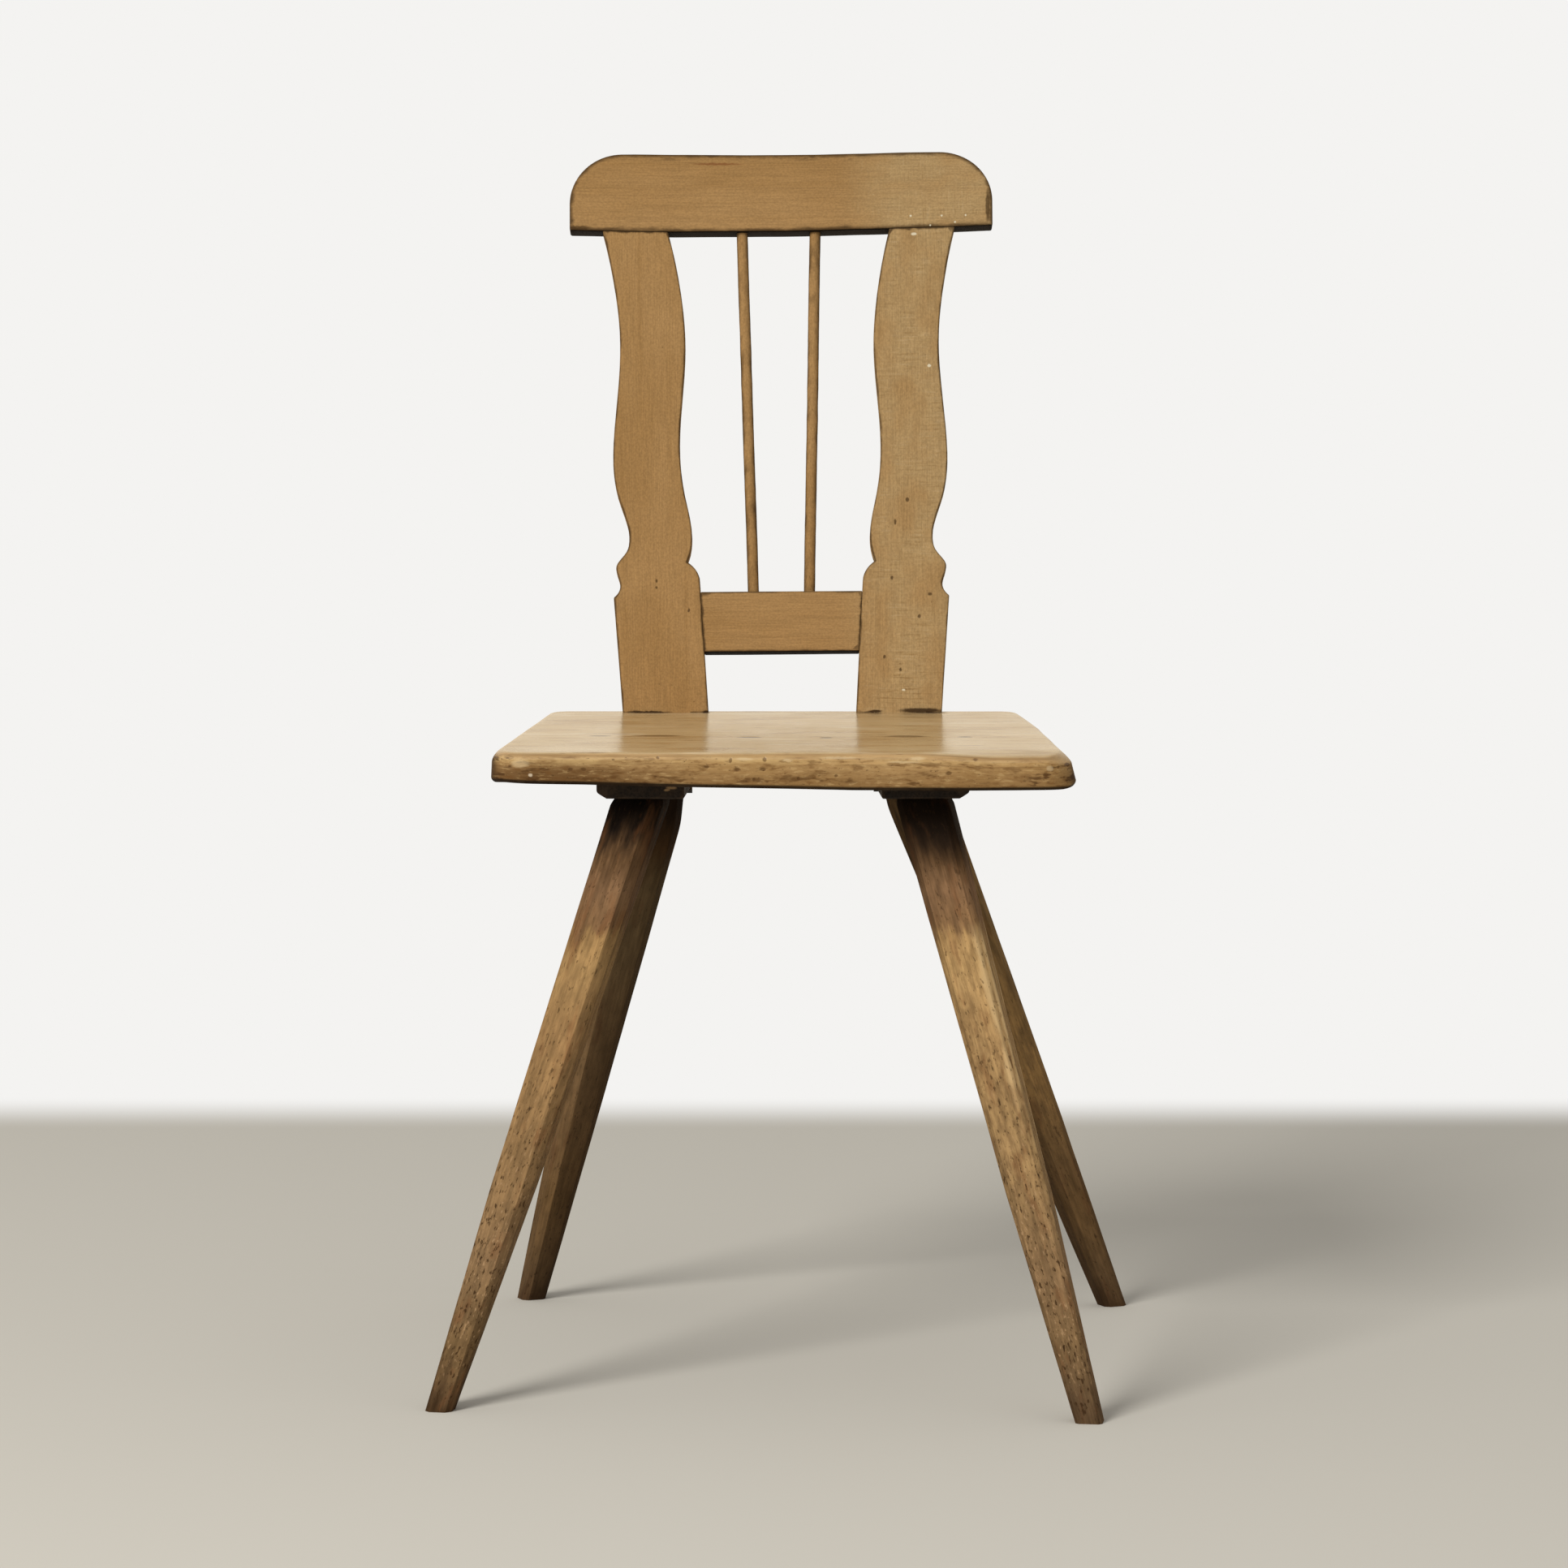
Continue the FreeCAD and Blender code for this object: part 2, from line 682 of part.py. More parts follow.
# Crest rail
crest_cutters = []
for name, side in sides.items():
    crest_cutters.append(make_crest_tenon(f"{name}_crest_mortise", side, "sizes.side_clearance",
                                          "sizes.end_clearance"))
    crest_cutters.append(make_spindle(f"{name}_crest_bore", side, "sizes.side_clearance", size("end_clearance")))
    crest_cutters.append(make_crest_peg(f"{name}_crest_peg_hole", side, "sizes.side_clearance"))
pieces["crest_rail"] = cut("crest_rail", make_crest_blank(), crest_cutters)

# Spindles and pegs
for name, side in sides.items():
    pieces[f"{name}_spindle"] = make_spindle(f"{name}_spindle", side, "0", 0)
pieces["crest_pegs"] = group("crest_pegs", [make_crest_peg(f"{name}_crest_peg", side, "0")
                                            for name, side in sides.items()])
pieces["rail_pegs"] = group("rail_pegs", [make_rail_peg(f"{name}_rail_peg", side, "0")
                                          for name, side in sides.items()])

doc.recompute()

# Every object has to be sound before anything is written
for item in doc.Objects:
    if "Invalid" in item.State or "Error" in item.State:
        raise RuntimeError(f"{item.Label} did not build")
for label, piece in pieces.items():
    piece.Label = label
    if piece.Shape.isNull() or not piece.Shape.isValid():
        raise RuntimeError(f"{label} has no sound shape")

os.makedirs("parts", exist_ok=True)
for label, piece in pieces.items():
    piece.Shape.exportStep(f"parts/{label}.step")
    print(label, len(piece.Shape.Solids), "solids", round(piece.Shape.Volume), "cubic mm")
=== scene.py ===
import math
from functools import partial
import bmesh
import bpy
import numpy as np
from mathutils import Matrix, Vector, kdtree, noise


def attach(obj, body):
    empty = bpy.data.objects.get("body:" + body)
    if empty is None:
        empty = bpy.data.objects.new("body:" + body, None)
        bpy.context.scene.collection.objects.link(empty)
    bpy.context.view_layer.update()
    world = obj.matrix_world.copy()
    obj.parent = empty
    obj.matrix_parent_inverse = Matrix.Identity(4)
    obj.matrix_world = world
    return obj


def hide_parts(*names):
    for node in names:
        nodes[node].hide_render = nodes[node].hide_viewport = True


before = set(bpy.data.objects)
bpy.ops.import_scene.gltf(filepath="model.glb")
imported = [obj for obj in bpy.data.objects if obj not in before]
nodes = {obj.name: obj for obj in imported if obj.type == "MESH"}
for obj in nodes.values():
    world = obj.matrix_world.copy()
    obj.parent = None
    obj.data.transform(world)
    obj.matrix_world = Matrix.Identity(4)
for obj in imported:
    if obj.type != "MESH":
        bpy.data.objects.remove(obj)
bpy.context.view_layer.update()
scene = bpy.context.scene
scene.view_settings.view_transform = "Standard"
print("frame loaded:", len(nodes), "nodes")

mm = 0.001

# where the parts lie, the same sizes as the solids
chair = {
    "middleX": -7.1 * mm, "seatMiddleX": -5.6 * mm, "seatTop": 455 * mm, "seatUnder": 431 * mm,
    "seatFront": -176.2 * mm, "seatDepth": 372 * mm, "seatFrontHalf": 208 * mm, "seatRearHalf": 178.5 * mm,
    "battenFront": -136.2 * mm, "battenUnder": 419 * mm, "backX": -6.5 * mm, "backY": 175.31 * mm,
    "backRake": math.radians(12.5), "backLean": math.radians(0.45), "backRise": 369.5 * mm,
}
# the back's own frame: x across, y into the boards, z up along them
backFrame = (Matrix.Translation((chair["backX"], chair["backY"], chair["seatTop"]))
             @ Matrix.Rotation(-chair["backRake"], 4, "X") @ Matrix.Rotation(-chair["backLean"], 4, "Y"))


def linear(hexColour):  # sRGB hex to linear
    channels = [int(hexColour[i:i + 2], 16) / 255 for i in (1, 3, 5)]
    return tuple(c / 12.92 if c <= 0.04045 else ((c + 0.055) / 1.055) ** 2.4 for c in channels) + (1.0,)


def perMm(across, depth, along):  # pattern scale for coordinates in metres, from real sizes in millimetres
    return (1 / (across * mm), 1 / (depth * mm), 1 / (along * mm))


def clamp(share):
    return min(max(share, 0), 1)


def readTable(table, spot):  # a table in mm, read at a place in metres
    return np.interp(spot / mm, *zip(*table))


# one node with its settings and links, giving an output; shader kinds go by their names without ShaderNode
def addNode(tree, kind, inputs=None, out=0, **settings):
    node = tree.nodes.new(kind if "Node" in kind else "ShaderNode" + kind)
    for name, value in settings.items():
        setattr(node, name, value)
    for socket, value in (inputs or {}).items():
        if isinstance(value, bpy.types.NodeSocket):
            tree.links.new(value, node.inputs[socket])
        else:
            node.inputs[socket].default_value = value
    return node.outputs[out] if out is not None else node


def startMaterial(name):  # an empty material, and addNode for its tree
    material = bpy.data.materials.new(name)
    material.use_nodes = True
    material.node_tree.nodes.clear()
    return material, partial(addNode, material.node_tree)


# shared by all woods: index, noise, strength of the relief, and the ragged border of small marks
wood = {"ior": 1.5, "noiseRoughness": 0.58, "bump": 0.6, "markWaves": 3 * mm, "markShift": 1.6 * mm,
        "markCore": 0.55, "markRim": 1.15}


# what every wood here starts from: its shader, its coordinates and its noise patterns
def startWood(name, look):
    material, add = startMaterial(name)
    shader = add("BsdfPrincipled", {"IOR": wood["ior"], "Specular IOR Level": look["gloss"]}, out=None)
    add("OutputMaterial", {"Surface": shader.outputs[0]}, out=None)
    place = add("TexCoord", out="Object")
    spot = add("SeparateXYZ", {0: place}, out=None).outputs
    facing = add("SeparateXYZ", {0: add("NewGeometry", out="Normal")}, out=None).outputs
    grain = add("Attribute", out="Vector", attribute_name="grain")
    fields = {
        "x": spot["X"], "z": spot["Z"], "sideways": facing["X"], "up": facing["Z"],
        "across": add("SeparateXYZ", {0: grain}), "arris": add("Attribute", out="Fac", attribute_name="arris"),
    }
    for pattern, (across, depth, along, detail) in look["patterns"].items():
        scaled = add("Mapping", {"Vector": grain, "Scale": perMm(across, depth, along)})
        fields[pattern] = add("TexNoise", {"Vector": scaled, "Scale": 1, "Detail": detail,
                                           "Roughness": wood["noiseRoughness"]})
    # the same arris, with a ragged border
    fields["wandering"] = add("Math", {0: fields["wander"], 1: 0.5}, operation="SUBTRACT")
    fields["ragged"] = add("Math", {0: fields["wandering"], 1: look["raggedBy"], 2: fields["arris"]},
                           operation="MULTIPLY_ADD")
    return material, add, shader, place, fields


# lays the looks of a wood one over another: (field, from, to, least, most, colour, regions that hold it in)
def paint(add, colour, fields, layers):
    for name, low, high, least, most, tint, *regions in layers:
        mask = add("MapRange", {0: fields[name], 1: low, 2: high, 3: least, 4: most}, interpolation_type="SMOOTHSTEP")
        for region in regions:
            mask = add("Math", {0: mask, 1: fields[region]}, operation="MULTIPLY")
        if tint is None:  # a shade rather than a colour
            colour = add("Mix", {0: 1.0, 6: colour, 7: mask}, out=2, data_type="RGBA", blend_type="MULTIPLY")
        else:
            colour = add("Mix", {0: mask, 6: colour, 7: linear(tint)}, out=2, data_type="RGBA")
    return colour


# regions of a piece, each 0 to 1: name: (field, from, to)
def mapRegions(add, fields, regions):
    for region, (name, low, high) in regions.items():
        fields[region] = add("MapRange", {0: fields[name], 1: low, 2: high, 3: 0, 4: 1},
                             interpolation_type="SMOOTHSTEP")


# small marks at given places, ragged, as (centre, half sizes) in metres
def mapMarks(add, place, marks):
    shift = add("TexNoise", {"Vector": place, "Scale": 1 / wood["markWaves"]}, out="Color")
    shift = add("VectorMath", {0: shift, 1: (0.5, 0.5, 0.5)}, operation="SUBTRACT")
    uneven = add("VectorMath", {0: shift, 1: (wood["markShift"],) * 3, 2: place}, operation="MULTIPLY_ADD")
    mask = None
    for centre, halfSizes in marks:
        away = add("VectorMath", {0: uneven, 1: centre}, operation="SUBTRACT")
        away = add("VectorMath", {0: away, 1: [1 / size for size in halfSizes]}, operation="MULTIPLY")
        away = add("VectorMath", {0: away}, out="Value", operation="LENGTH")
        mark = add("MapRange", {0: away, 1: wood["markCore"], 2: wood["markRim"], 3: 1, 4: 0})
        mask = mark if mask is None else add("Math", {0: mask, 1: mark}, operation="MAXIMUM")
    return mask


# roughness follows one field, and the relief is a sum of fields, each with its own share
def finishWood(add, shader, fields, colour, look):
    name, low, high, least, most = look["roughness"]
    rough = add("MapRange", {0: fields[name], 1: low, 2: high, 3: least, 4: most})
    for name, more in look.get("dullWhere", {}).items():
        rough = add("Math", {0: fields[name], 1: more, 2: rough}, operation="MULTIPLY_ADD")
    relief = 0.0
    for name, share in look["relief"].items():
        relief = add("Math", {0: fields[name], 1: share, 2: relief}, operation="MULTIPLY_ADD")
    bump = add("Bump", {"Strength": wood["bump"], "Distance": look["depth"] * mm, "Height": relief})
    for socket, value in (("Base Color", colour), ("Roughness", rough), ("Normal", bump)):
        shader.id_data.links.new(value, shader.inputs[socket])


# ochre glaze on the back; a pattern is (across, depth, along) in mm and its detail
glaze = {
    "gloss": 0.04, "raggedBy": 0.0035, "depth": 0.16, "markDepth": 4,
    "patterns": {"clouds": (55, 55, 150, 3), "brush": (0.9, 0.9, 24, 3), "rings": (6, 6, 260, 3),
                 "dust": (1.3, 1.3, 1.8, 2), "hatch": (15, 15, 1.5, 3), "patches": (26, 26, 42, 2),
                 "wander": (7, 7, 22, 3), "specks": (2.0, 2.0, 3.2, 2)},
    "regions": {"right": ("x", 0.030, 0.085), "patchy": ("patches", 0.42, 0.60), "low": ("z", 0.535, 0.465),
                "crestTop": ("z", 0.868, 0.874)},
    "body": "#9E794A",
    "layers": [
        ("clouds", 0.36, 0.64, 0, 0.8, "#A88354"),
        ("rings", 0.50, 0.72, 0, 0.25, "#8C683A"),
        ("patches", 0.30, 0.62, 0.35, 0.9, "#AE9063", "right"),
        ("hatch", 0.54, 0.68, 0, 0.5, "#8F7046", "right", "patchy"),
        ("hatch", 0.46, 0.32, 0, 0.4, "#BCA077", "right", "patchy"),
        ("hatch", 0.56, 0.70, 0, 0.28, "#866539", "low"),
        ("brush", 0.28, 0.72, 0.90, 1.09, None),
        ("dust", 0.30, 0.70, 0.89, 1.09, None),
        ("specks", 0.70, 0.77, 0, 0.55, "#5E4526"),
        ("specks", 0.66, 0.74, 0, 0.55, "#6A4E2B", "low"),
        ("specks", 0.27, 0.22, 0, 0.6, "#C9B48C", "right"),
        # dark line along the arrises: partly rubbed paint, partly painted shade where the edges turn from the light
        ("ragged", 0.0003, 0.0022, 0.85, 0, "#42301C"),
        ("wander", 0.50, 0.62, 0, 0.85, "#3E2C1A", "crestTop"),
        # faces that look down are painted near black: painted shade under the crest and the rail
        ("up", -0.30, -0.70, 0, 0.98, "#120C07"),
    ],
    "markLayers": [("scratch", 0, 1, 0, 0.7, "#7A4A28"), ("pits", 0, 1, 0, 0.76, "#432F19"),
                   # the last mark layer is painted shade along the stiles' feet, where they stand in the seat
                   ("chips", 0, 1, 0, 0.85, "#E2D6B8"), ("dirt", 0, 1, 0, 0.92, "#33200F")],
    "roughness": ("clouds", 0.35, 0.65, 0.62, 0.74), "relief": {"brush": 1, "hatch": 0.4, "pits": -3},
    # old nail holes and pits, among them two long painted shadow lines at the crest's ends, chips down to the filler,
    # one red scratch, and painted shade where the stiles meet the seat, as (across, up, half width, half height) in mm
    # on the back's face
    "pits": [(-94.3, 101.1, 1.0, 1.5), (-94.3, 96.2, 1.0, 1.2), (-69.9, 78.6, 1.1, 1.6), (83.6, 102.2, 1.2, 1.6),
             (112.3, 89.6, 1.7, 1.5), (104.1, 72.9, 1.2, 1.5), (77.5, 42.1, 0.9, 1.6), (89.6, 32.1, 1.1, 1.5),
             # the last two marks of this list are long painted shadow lines, down the crest's right end and under its
             # left end
             (95.9, 161.8, 1.5, 1.8), (86.5, 145.1, 1.0, 2.4), (-28.0, 162.0, 2.0, 1.6), (159.4, 388, 1.7, 19),
             (-152, 373.8, 10, 1.7)],
    "chips": [(102.9, 366.9, 2.4, 1.2), (113.5, 265.3, 1.4, 1.4), (142.6, 381.3, 0.9, 0.9), (91.3, 16.7, 1.6, 1.0),
              (100.6, 381, 0.9, 0.9), (124.2, 381, 0.9, 0.9), (134.5, 376, 0.8, 0.8), (115.3, 373.6, 0.8, 0.8)],
    "scratch": [(-46.3, 422.3, 20.0, 1.0)],
    "dirt": [(104.2, 0.9, 18.5, 2.1), (-100.6, 0.7, 19, 1.5), (-57.4, 0.7, 3.5, 1.7), (70, 0.5, 6, 1.1)],
}


def ochreGlaze(name):
    # Ochre oil glaze brushed on spruce: flat and nearly matt, with fine brush lines, dark arrises that are partly
    # rubbed paint and partly painted shade, greyer and faintly hatched towards the right, a few holes and chips, and
    # painted shade on the faces that look down
    material, add, shader, place, fields = startWood(name, glaze)
    mapRegions(add, fields, glaze["regions"])
    for kind in ("scratch", "pits", "chips", "dirt"):
        fields[kind] = mapMarks(add, place, [
            (backFrame @ Vector((x * mm, 0, z * mm)), (wide * mm, glaze["markDepth"] * mm, high * mm))
            for x, z, wide, high in glaze[kind]])
    colour = paint(add, linear(glaze["body"]), fields, glaze["layers"] + glaze["markLayers"])
    finishWood(add, shader, fields, colour, glaze)
    return material


# waxed seat
wax = {
    "gloss": 0.5, "edgeGloss": 0.06, "raggedBy": 0.003, "depth": 0.16, "topMarkDepth": 4, "frontMarkDepth": 14,
    "patterns": {"clouds": (95, 45, 60, 3), "stains": (28, 24, 90, 3), "lines": (9, 24, 44, 3),
                 "fibre": (1.2, 1.2, 42, 4), "pores": (1.0, 1.0, 12, 2), "mottle": (30, 2.2, 8, 3),
                 "blotches": (20, 5, 16, 3), "nicks": (3.0, 1.8, 3.6, 2), "wear": (9, 5, 26, 3),
                 "wander": (9, 9, 24, 3), "streaks": (16, 4, 300, 3)},
    "regions": {"edge": ("up", 0.85, 0.45), "top": ("up", 0.75, 0.97), "brow": ("z", 0.4450, 0.4505),
                "low": ("z", 0.443, 0.435), "leftEnd": ("x", -0.04, -0.17), "farEnds": ("fromMiddle", 0.150, 0.196),
                "ends": ("fromMiddle", 0.198, 0.2065)},
    "body": "#AB8654",
    "layers": [
        ("clouds", 0.36, 0.64, 0, 0.9, "#B99462"),
        ("streaks", 0.50, 0.68, 0, 0.5, "#86633A"),
        ("up", 0.80, 0.985, 0, 0.9, "#CBAE7E"),
        ("stains", 0.52, 0.68, 0, 0.6, "#A27D4A", "top"),
        ("stains", 0.44, 0.30, 0, 0.55, "#E3D0AE", "top"),
        ("lines", 0.57, 0.70, 0, 0.7, "#8A673A", "top"),
        ("fibre", 0.28, 0.72, 0.86, 1.13, None),
        ("pores", 0.62, 0.74, 0, 0.6, "#7A5830"),
        # the front edge darker towards its bottom: painted shade where the lower rounding turns from the light
        ("z", 0.449, 0.436, 0, 0.5, "#7A5830", "edge"),
        ("z", 0.453, 0.440, 0.15, 0.75, "#5E3F20", "edge", "leftEnd"),
        ("mottle", 0.52, 0.68, 0, 0.52, "#6E4923", "edge"),
        ("mottle", 0.46, 0.32, 0, 0.38, "#CBA974", "edge"),
        # pale band along the brow: painted highlight on the rounded arris
        ("wear", 0.42, 0.60, 0.15, 0.75, "#CBA972", "edge", "brow"),
        ("blotches", 0.56, 0.68, 0, 0.5, "#65431F", "edge"),
        ("nicks", 0.66, 0.73, 0, 0.62, "#543A1E", "edge"),
        ("blotches", 0.52, 0.64, 0, 0.62, "#583A1C", "edge", "low"),
        # towards the ends of the front edge darker blotches, and a dark rim at the very ends: painted shade where the
        # rounded corners turn from the light, with dirt
        ("blotches", 0.52, 0.63, 0, 0.7, "#4A3018", "edge", "farEnds"),
        ("ends", 0, 1, 0, 0.85, "#38240F", "edge"),
        # faces that look down are painted near black: painted shade under the seat and its lower rounding
        ("up", -0.10, -0.55, 0, 0.92, "#1E150E"),
    ],
    # worn: pale spots along the brow and at the corners, painted highlights
    "markLayers": [("worn", 0, 1, 0, 0.45, "#D8BE92"), ("dents", 0, 1, 0, 0.66, "#57391B"),
                   ("chips", 0, 1, 0, 0.75, "#DCC9AC"), ("checks", 0, 1, 0, 0.95, "#40260C"),
                   # the last mark layer is painted shade in the gaps against the stiles' feet
                   ("grime", 0, 1, 0, 0.95, "#2C1A0B")],
    "roughness": ("clouds", 0.3, 0.7, 0.16, 0.25), "dullWhere": {"edge": 0.45, "grime": 0.5},
    "relief": {"fibre": 1, "pores": -0.8, "pitted": -4, "checks": -3}, "nickRelief": (0.64, 0.72, 0, 0.7),
    # short drying checks on the top, as (x from, x to, y, half width) in mm, and painted shade in the gaps against the
    # stiles' feet
    "checks": [(-115, -77, -31, 7.5), (-147, -129, -33, 5), (66, 100, -37, 9.5), (-40, -20, -45, 6.5),
               (20, 30, -50, 6), (119, 131, -42, 6)],
    "grime": [(-122, -92, 174, 4.5), (-67, -61, 174, 5), (60, 70, 174, 4), (89, 118, 174, 6)],
    # dents of the front edge, as (x, z, half width, half height) in mm, white chips and pale places that are painted
    # highlights
    "dents": [(-93.6, 451.5, 1.2, 1.2), (-42.7, 449.8, 1.0, 2.0), (-18.9, 450.4, 1.5, 1.8), (-38.1, 443.5, 2.5, 1.4),
              (-20, 443.5, 2.5, 1.2), (-26.2, 436.1, 1.3, 1.2), (-145.6, 443.5, 2.3, 1.2), (-154.7, 443.5, 1.7, 1.3),
              (-172.8, 443.5, 4, 1.1), (-59.6, 445.2, 2.2, 1.4), (128.8, 450.4, 2.2, 1.0), (178, 439.5, 1.8, 1.6),
              (110.2, 440.7, 2.4, 1.3), (31.5, 439, 1.4, 1.2), (5, 437, 1.2, 1.2)],
    "chips": [(-183, 439.5, 1.6, 1.4)],
    "worn": [(-190, 447.5, 7, 3.2), (181, 444, 2.8, 2.2), (-33, 450.6, 7, 1.2), (-3, 449.8, 4, 1.2),
             (79, 448.7, 14, 0.9), (33.7, 451.5, 14, 1.0), (88, 451, 6, 1.6)],
}


def waxedSeat(name, gloss):
    # Spruce plank polished by use and wax: satin on top, so it mirrors at a low angle, and dull round its edge; grain
    # across the chair, bruised front edge with a painted highlight along its brow, and painted shade along its lower
    # rounding, at its ends and underneath
    material, add, shader, place, fields = startWood(name, dict(wax, gloss=gloss))
    fromMiddle = add("Math", {0: fields["x"], 1: chair["seatMiddleX"]}, operation="SUBTRACT")
    fields["fromMiddle"] = add("Math", {0: fromMiddle}, operation="ABSOLUTE")
    mapRegions(add, fields, wax["regions"])
    for kind in ("checks", "grime"):
        fields[kind] = mapMarks(add, place, [
            (((start + end) / 2 * mm, y * mm, chair["seatTop"]),
             ((end - start) / 2 * mm, wide * mm, wax["topMarkDepth"] * mm))
            for start, end, y, wide in wax[kind]])
    for kind in ("dents", "chips", "worn"):
        fields[kind] = mapMarks(add, place, [
            ((x * mm, chair["seatFront"], z * mm), (wide * mm, wax["frontMarkDepth"] * mm, high * mm))
            for x, z, wide, high in wax[kind]])
    low, high, least, most = wax["nickRelief"]
    nicks = add("MapRange", {0: fields["nicks"], 1: low, 2: high, 3: least, 4: most})
    nicks = add("Math", {0: nicks, 1: fields["edge"]}, operation="MULTIPLY")
    fields["pitted"] = add("Math", {0: nicks, 1: fields["dents"]}, operation="MAXIMUM")
    colour = paint(add, linear(wax["body"]), fields, wax["layers"] + wax["markLayers"])
    finishWood(add, shader, fields, colour, wax)
    return material


# stained legs: the tone goes from foot to top, as (height, colour); the top stops go near black under the batten, soot
# with painted shade under the seat
stain = {
    "frontLegBeechStainedAndPlaned": {
        "tones": [(0, "#463320"), (0.015, "#56412B"), (0.047, "#735A3B"), (0.098, "#896C4B"), (0.154, "#8B6D49"),
                  (0.215, "#91714A"), (0.26, "#98764D"), (0.30, "#A28053"), (0.322, "#9D7B4F"), (0.330, "#846443"),
                  (0.356, "#836345"), (0.375, "#664B31"), (0.392, "#3A2A1C"), (0.405, "#1C1510"), (0.419, "#140F0B")],
        "layers": [
            ("mottle", 0.30, 0.65, 0.05, 0.3, "#C4A16C", "rightLeg", "middle", "overKnee"),
            ("z", 0.075, 0.03, 0, 0.2, "#8E7254", "rightLeg"),
            ("clouds", 0.36, 0.64, 0.88, 1.11, None),
            ("mottle", 0.32, 0.68, 0.84, 1.15, None),
            ("red", 0.54, 0.68, 0, 0.4, "#74492A"),
            ("fibre", 0.30, 0.70, 0.84, 1.15, None),
            # inner sides darker: painted shade of the faces turned from the lamp, stronger near the seat
            ("inner", 0.20, 0.60, 0, 0.28, "#2E2013"),
            ("inner", 0.20, 0.60, 0, 0.26, "#241910", "upper"),
            ("ragged", 0.0006, 0.0046, 0.75, 0, "#CFAE7C", "rightSide", "rubbed", "middle", "overKnee", "rightLeg"),
            ("flecks", 0.60, 0.68, 0, 0.55, "#46311D"),
            ("flecks", 0.57, 0.66, 0, 0.74, "#3A2715", "lower"),
            ("flecks", 0.41, 0.31, 0, 0.5, "#BC9870", "lower", "overFoot"),
            # the right front leg darker near its top: soot with painted shade under the seat
            ("z", 0.357, 0.391, 0, 0.6, "#221810", "rightLeg"),
            ("dents", 0.65, 0.71, 0, 0.6, "#332315"),
        ],
    },
    "rearLegBeechStainedAndPlaned": {
        "tones": [(0, "#513C28"), (0.02, "#604A32"), (0.08, "#684F32"), (0.16, "#6D5438"), (0.22, "#6F573B"),
                  (0.28, "#776042"), (0.33, "#766042"), (0.36, "#583F26"), (0.385, "#302317"), (0.402, "#1C150F"),
                  (0.419, "#120D09")],
        "layers": [
            ("mottle", 0.30, 0.65, 0.4, 0.75, "#8E6D41", "rightLeg", "overKnee"),
            ("clouds", 0.36, 0.64, 0.88, 1.12, None),
            ("mottle", 0.32, 0.68, 0.86, 1.13, None),
            ("red", 0.54, 0.68, 0, 0.3, "#573520"),
            ("fibre", 0.30, 0.70, 0.84, 1.15, None),
            # inner sides darker: painted shade of the faces turned from the lamp and in the front legs' shadow
            ("inner", 0.10, 0.45, 0, 0.62, "#22170E"),
            ("flecks", 0.60, 0.70, 0, 0.6, "#2A1C10", "lower"),
            ("dents", 0.66, 0.72, 0, 0.5, "#1F150C"),
        ],
    },
}
legLook = {
    "gloss": 0.02, "raggedBy": 0.008, "depth": 0.2, "toneWander": 0.05,
    "patterns": {"clouds": (14, 14, 70, 3), "fibre": (1.7, 1.7, 42, 4), "wander": (8, 8, 30, 3),
                 "flecks": (2.1, 2.1, 4.6, 3), "mottle": (5, 5, 13, 3), "dents": (2.4, 2.4, 9, 3),
                 "patches": (24, 24, 60, 2), "red": (11, 11, 34, 3)},
    "regions": {"rubbed": ("patches", 0.36, 0.54), "lower": ("z", 0.30, 0.10), "overKnee": ("z", 0.10, 0.19),
                "overFoot": ("z", 0.006, 0.05), "middle": ("z", 0.336, 0.318), "upper": ("z", 0.285, 0.365),
                "rightLeg": ("x", 0.0, 0.05), "rightSide": ("across", 0.001, 0.005),
                "dented": ("dents", 0.62, 0.70)},
    "roughness": ("clouds", 0.3, 0.7, 0.65, 0.80), "relief": {"fibre": 1, "dented": -2, "flecks": -0.6},
}


def stainedLeg(name):
    # Beech stained brown and planed by hand: matt, dark against the batten with soot and painted shade under the seat,
    # darker on the inner sides with painted shade of the faces turned from the lamp, pale along the rubbed arris of the
    # right front leg, scuffed and dark at the foot
    look = dict(legLook, **stain[name])
    material, add, shader, place, fields = startWood(name, look)
    side = add("Math", {0: fields["x"]}, operation="SIGN")
    outward = add("Math", {0: side, 1: fields["sideways"]}, operation="MULTIPLY")
    fields["inner"] = add("Math", {0: outward, 1: -1}, operation="MULTIPLY")
    mapRegions(add, fields, look["regions"])
    level = add("Math", {0: fields["wandering"], 1: look["toneWander"], 2: fields["z"]}, operation="MULTIPLY_ADD")
    full = look["tones"][-1][0]
    level = add("Math", {0: level, 1: full}, operation="DIVIDE")
    tones = add("ValToRGB", {0: level}, out=None)
    for height, _ in look["tones"][1:-1]:
        tones.color_ramp.elements.new(height / full)
    for stop, (height, tint) in zip(tones.color_ramp.elements, look["tones"]):
        stop.position, stop.color = height / full, linear(tint)
    finishWood(add, shader, fields, paint(add, tones.outputs[0], fields, look["layers"]), look)
    return material


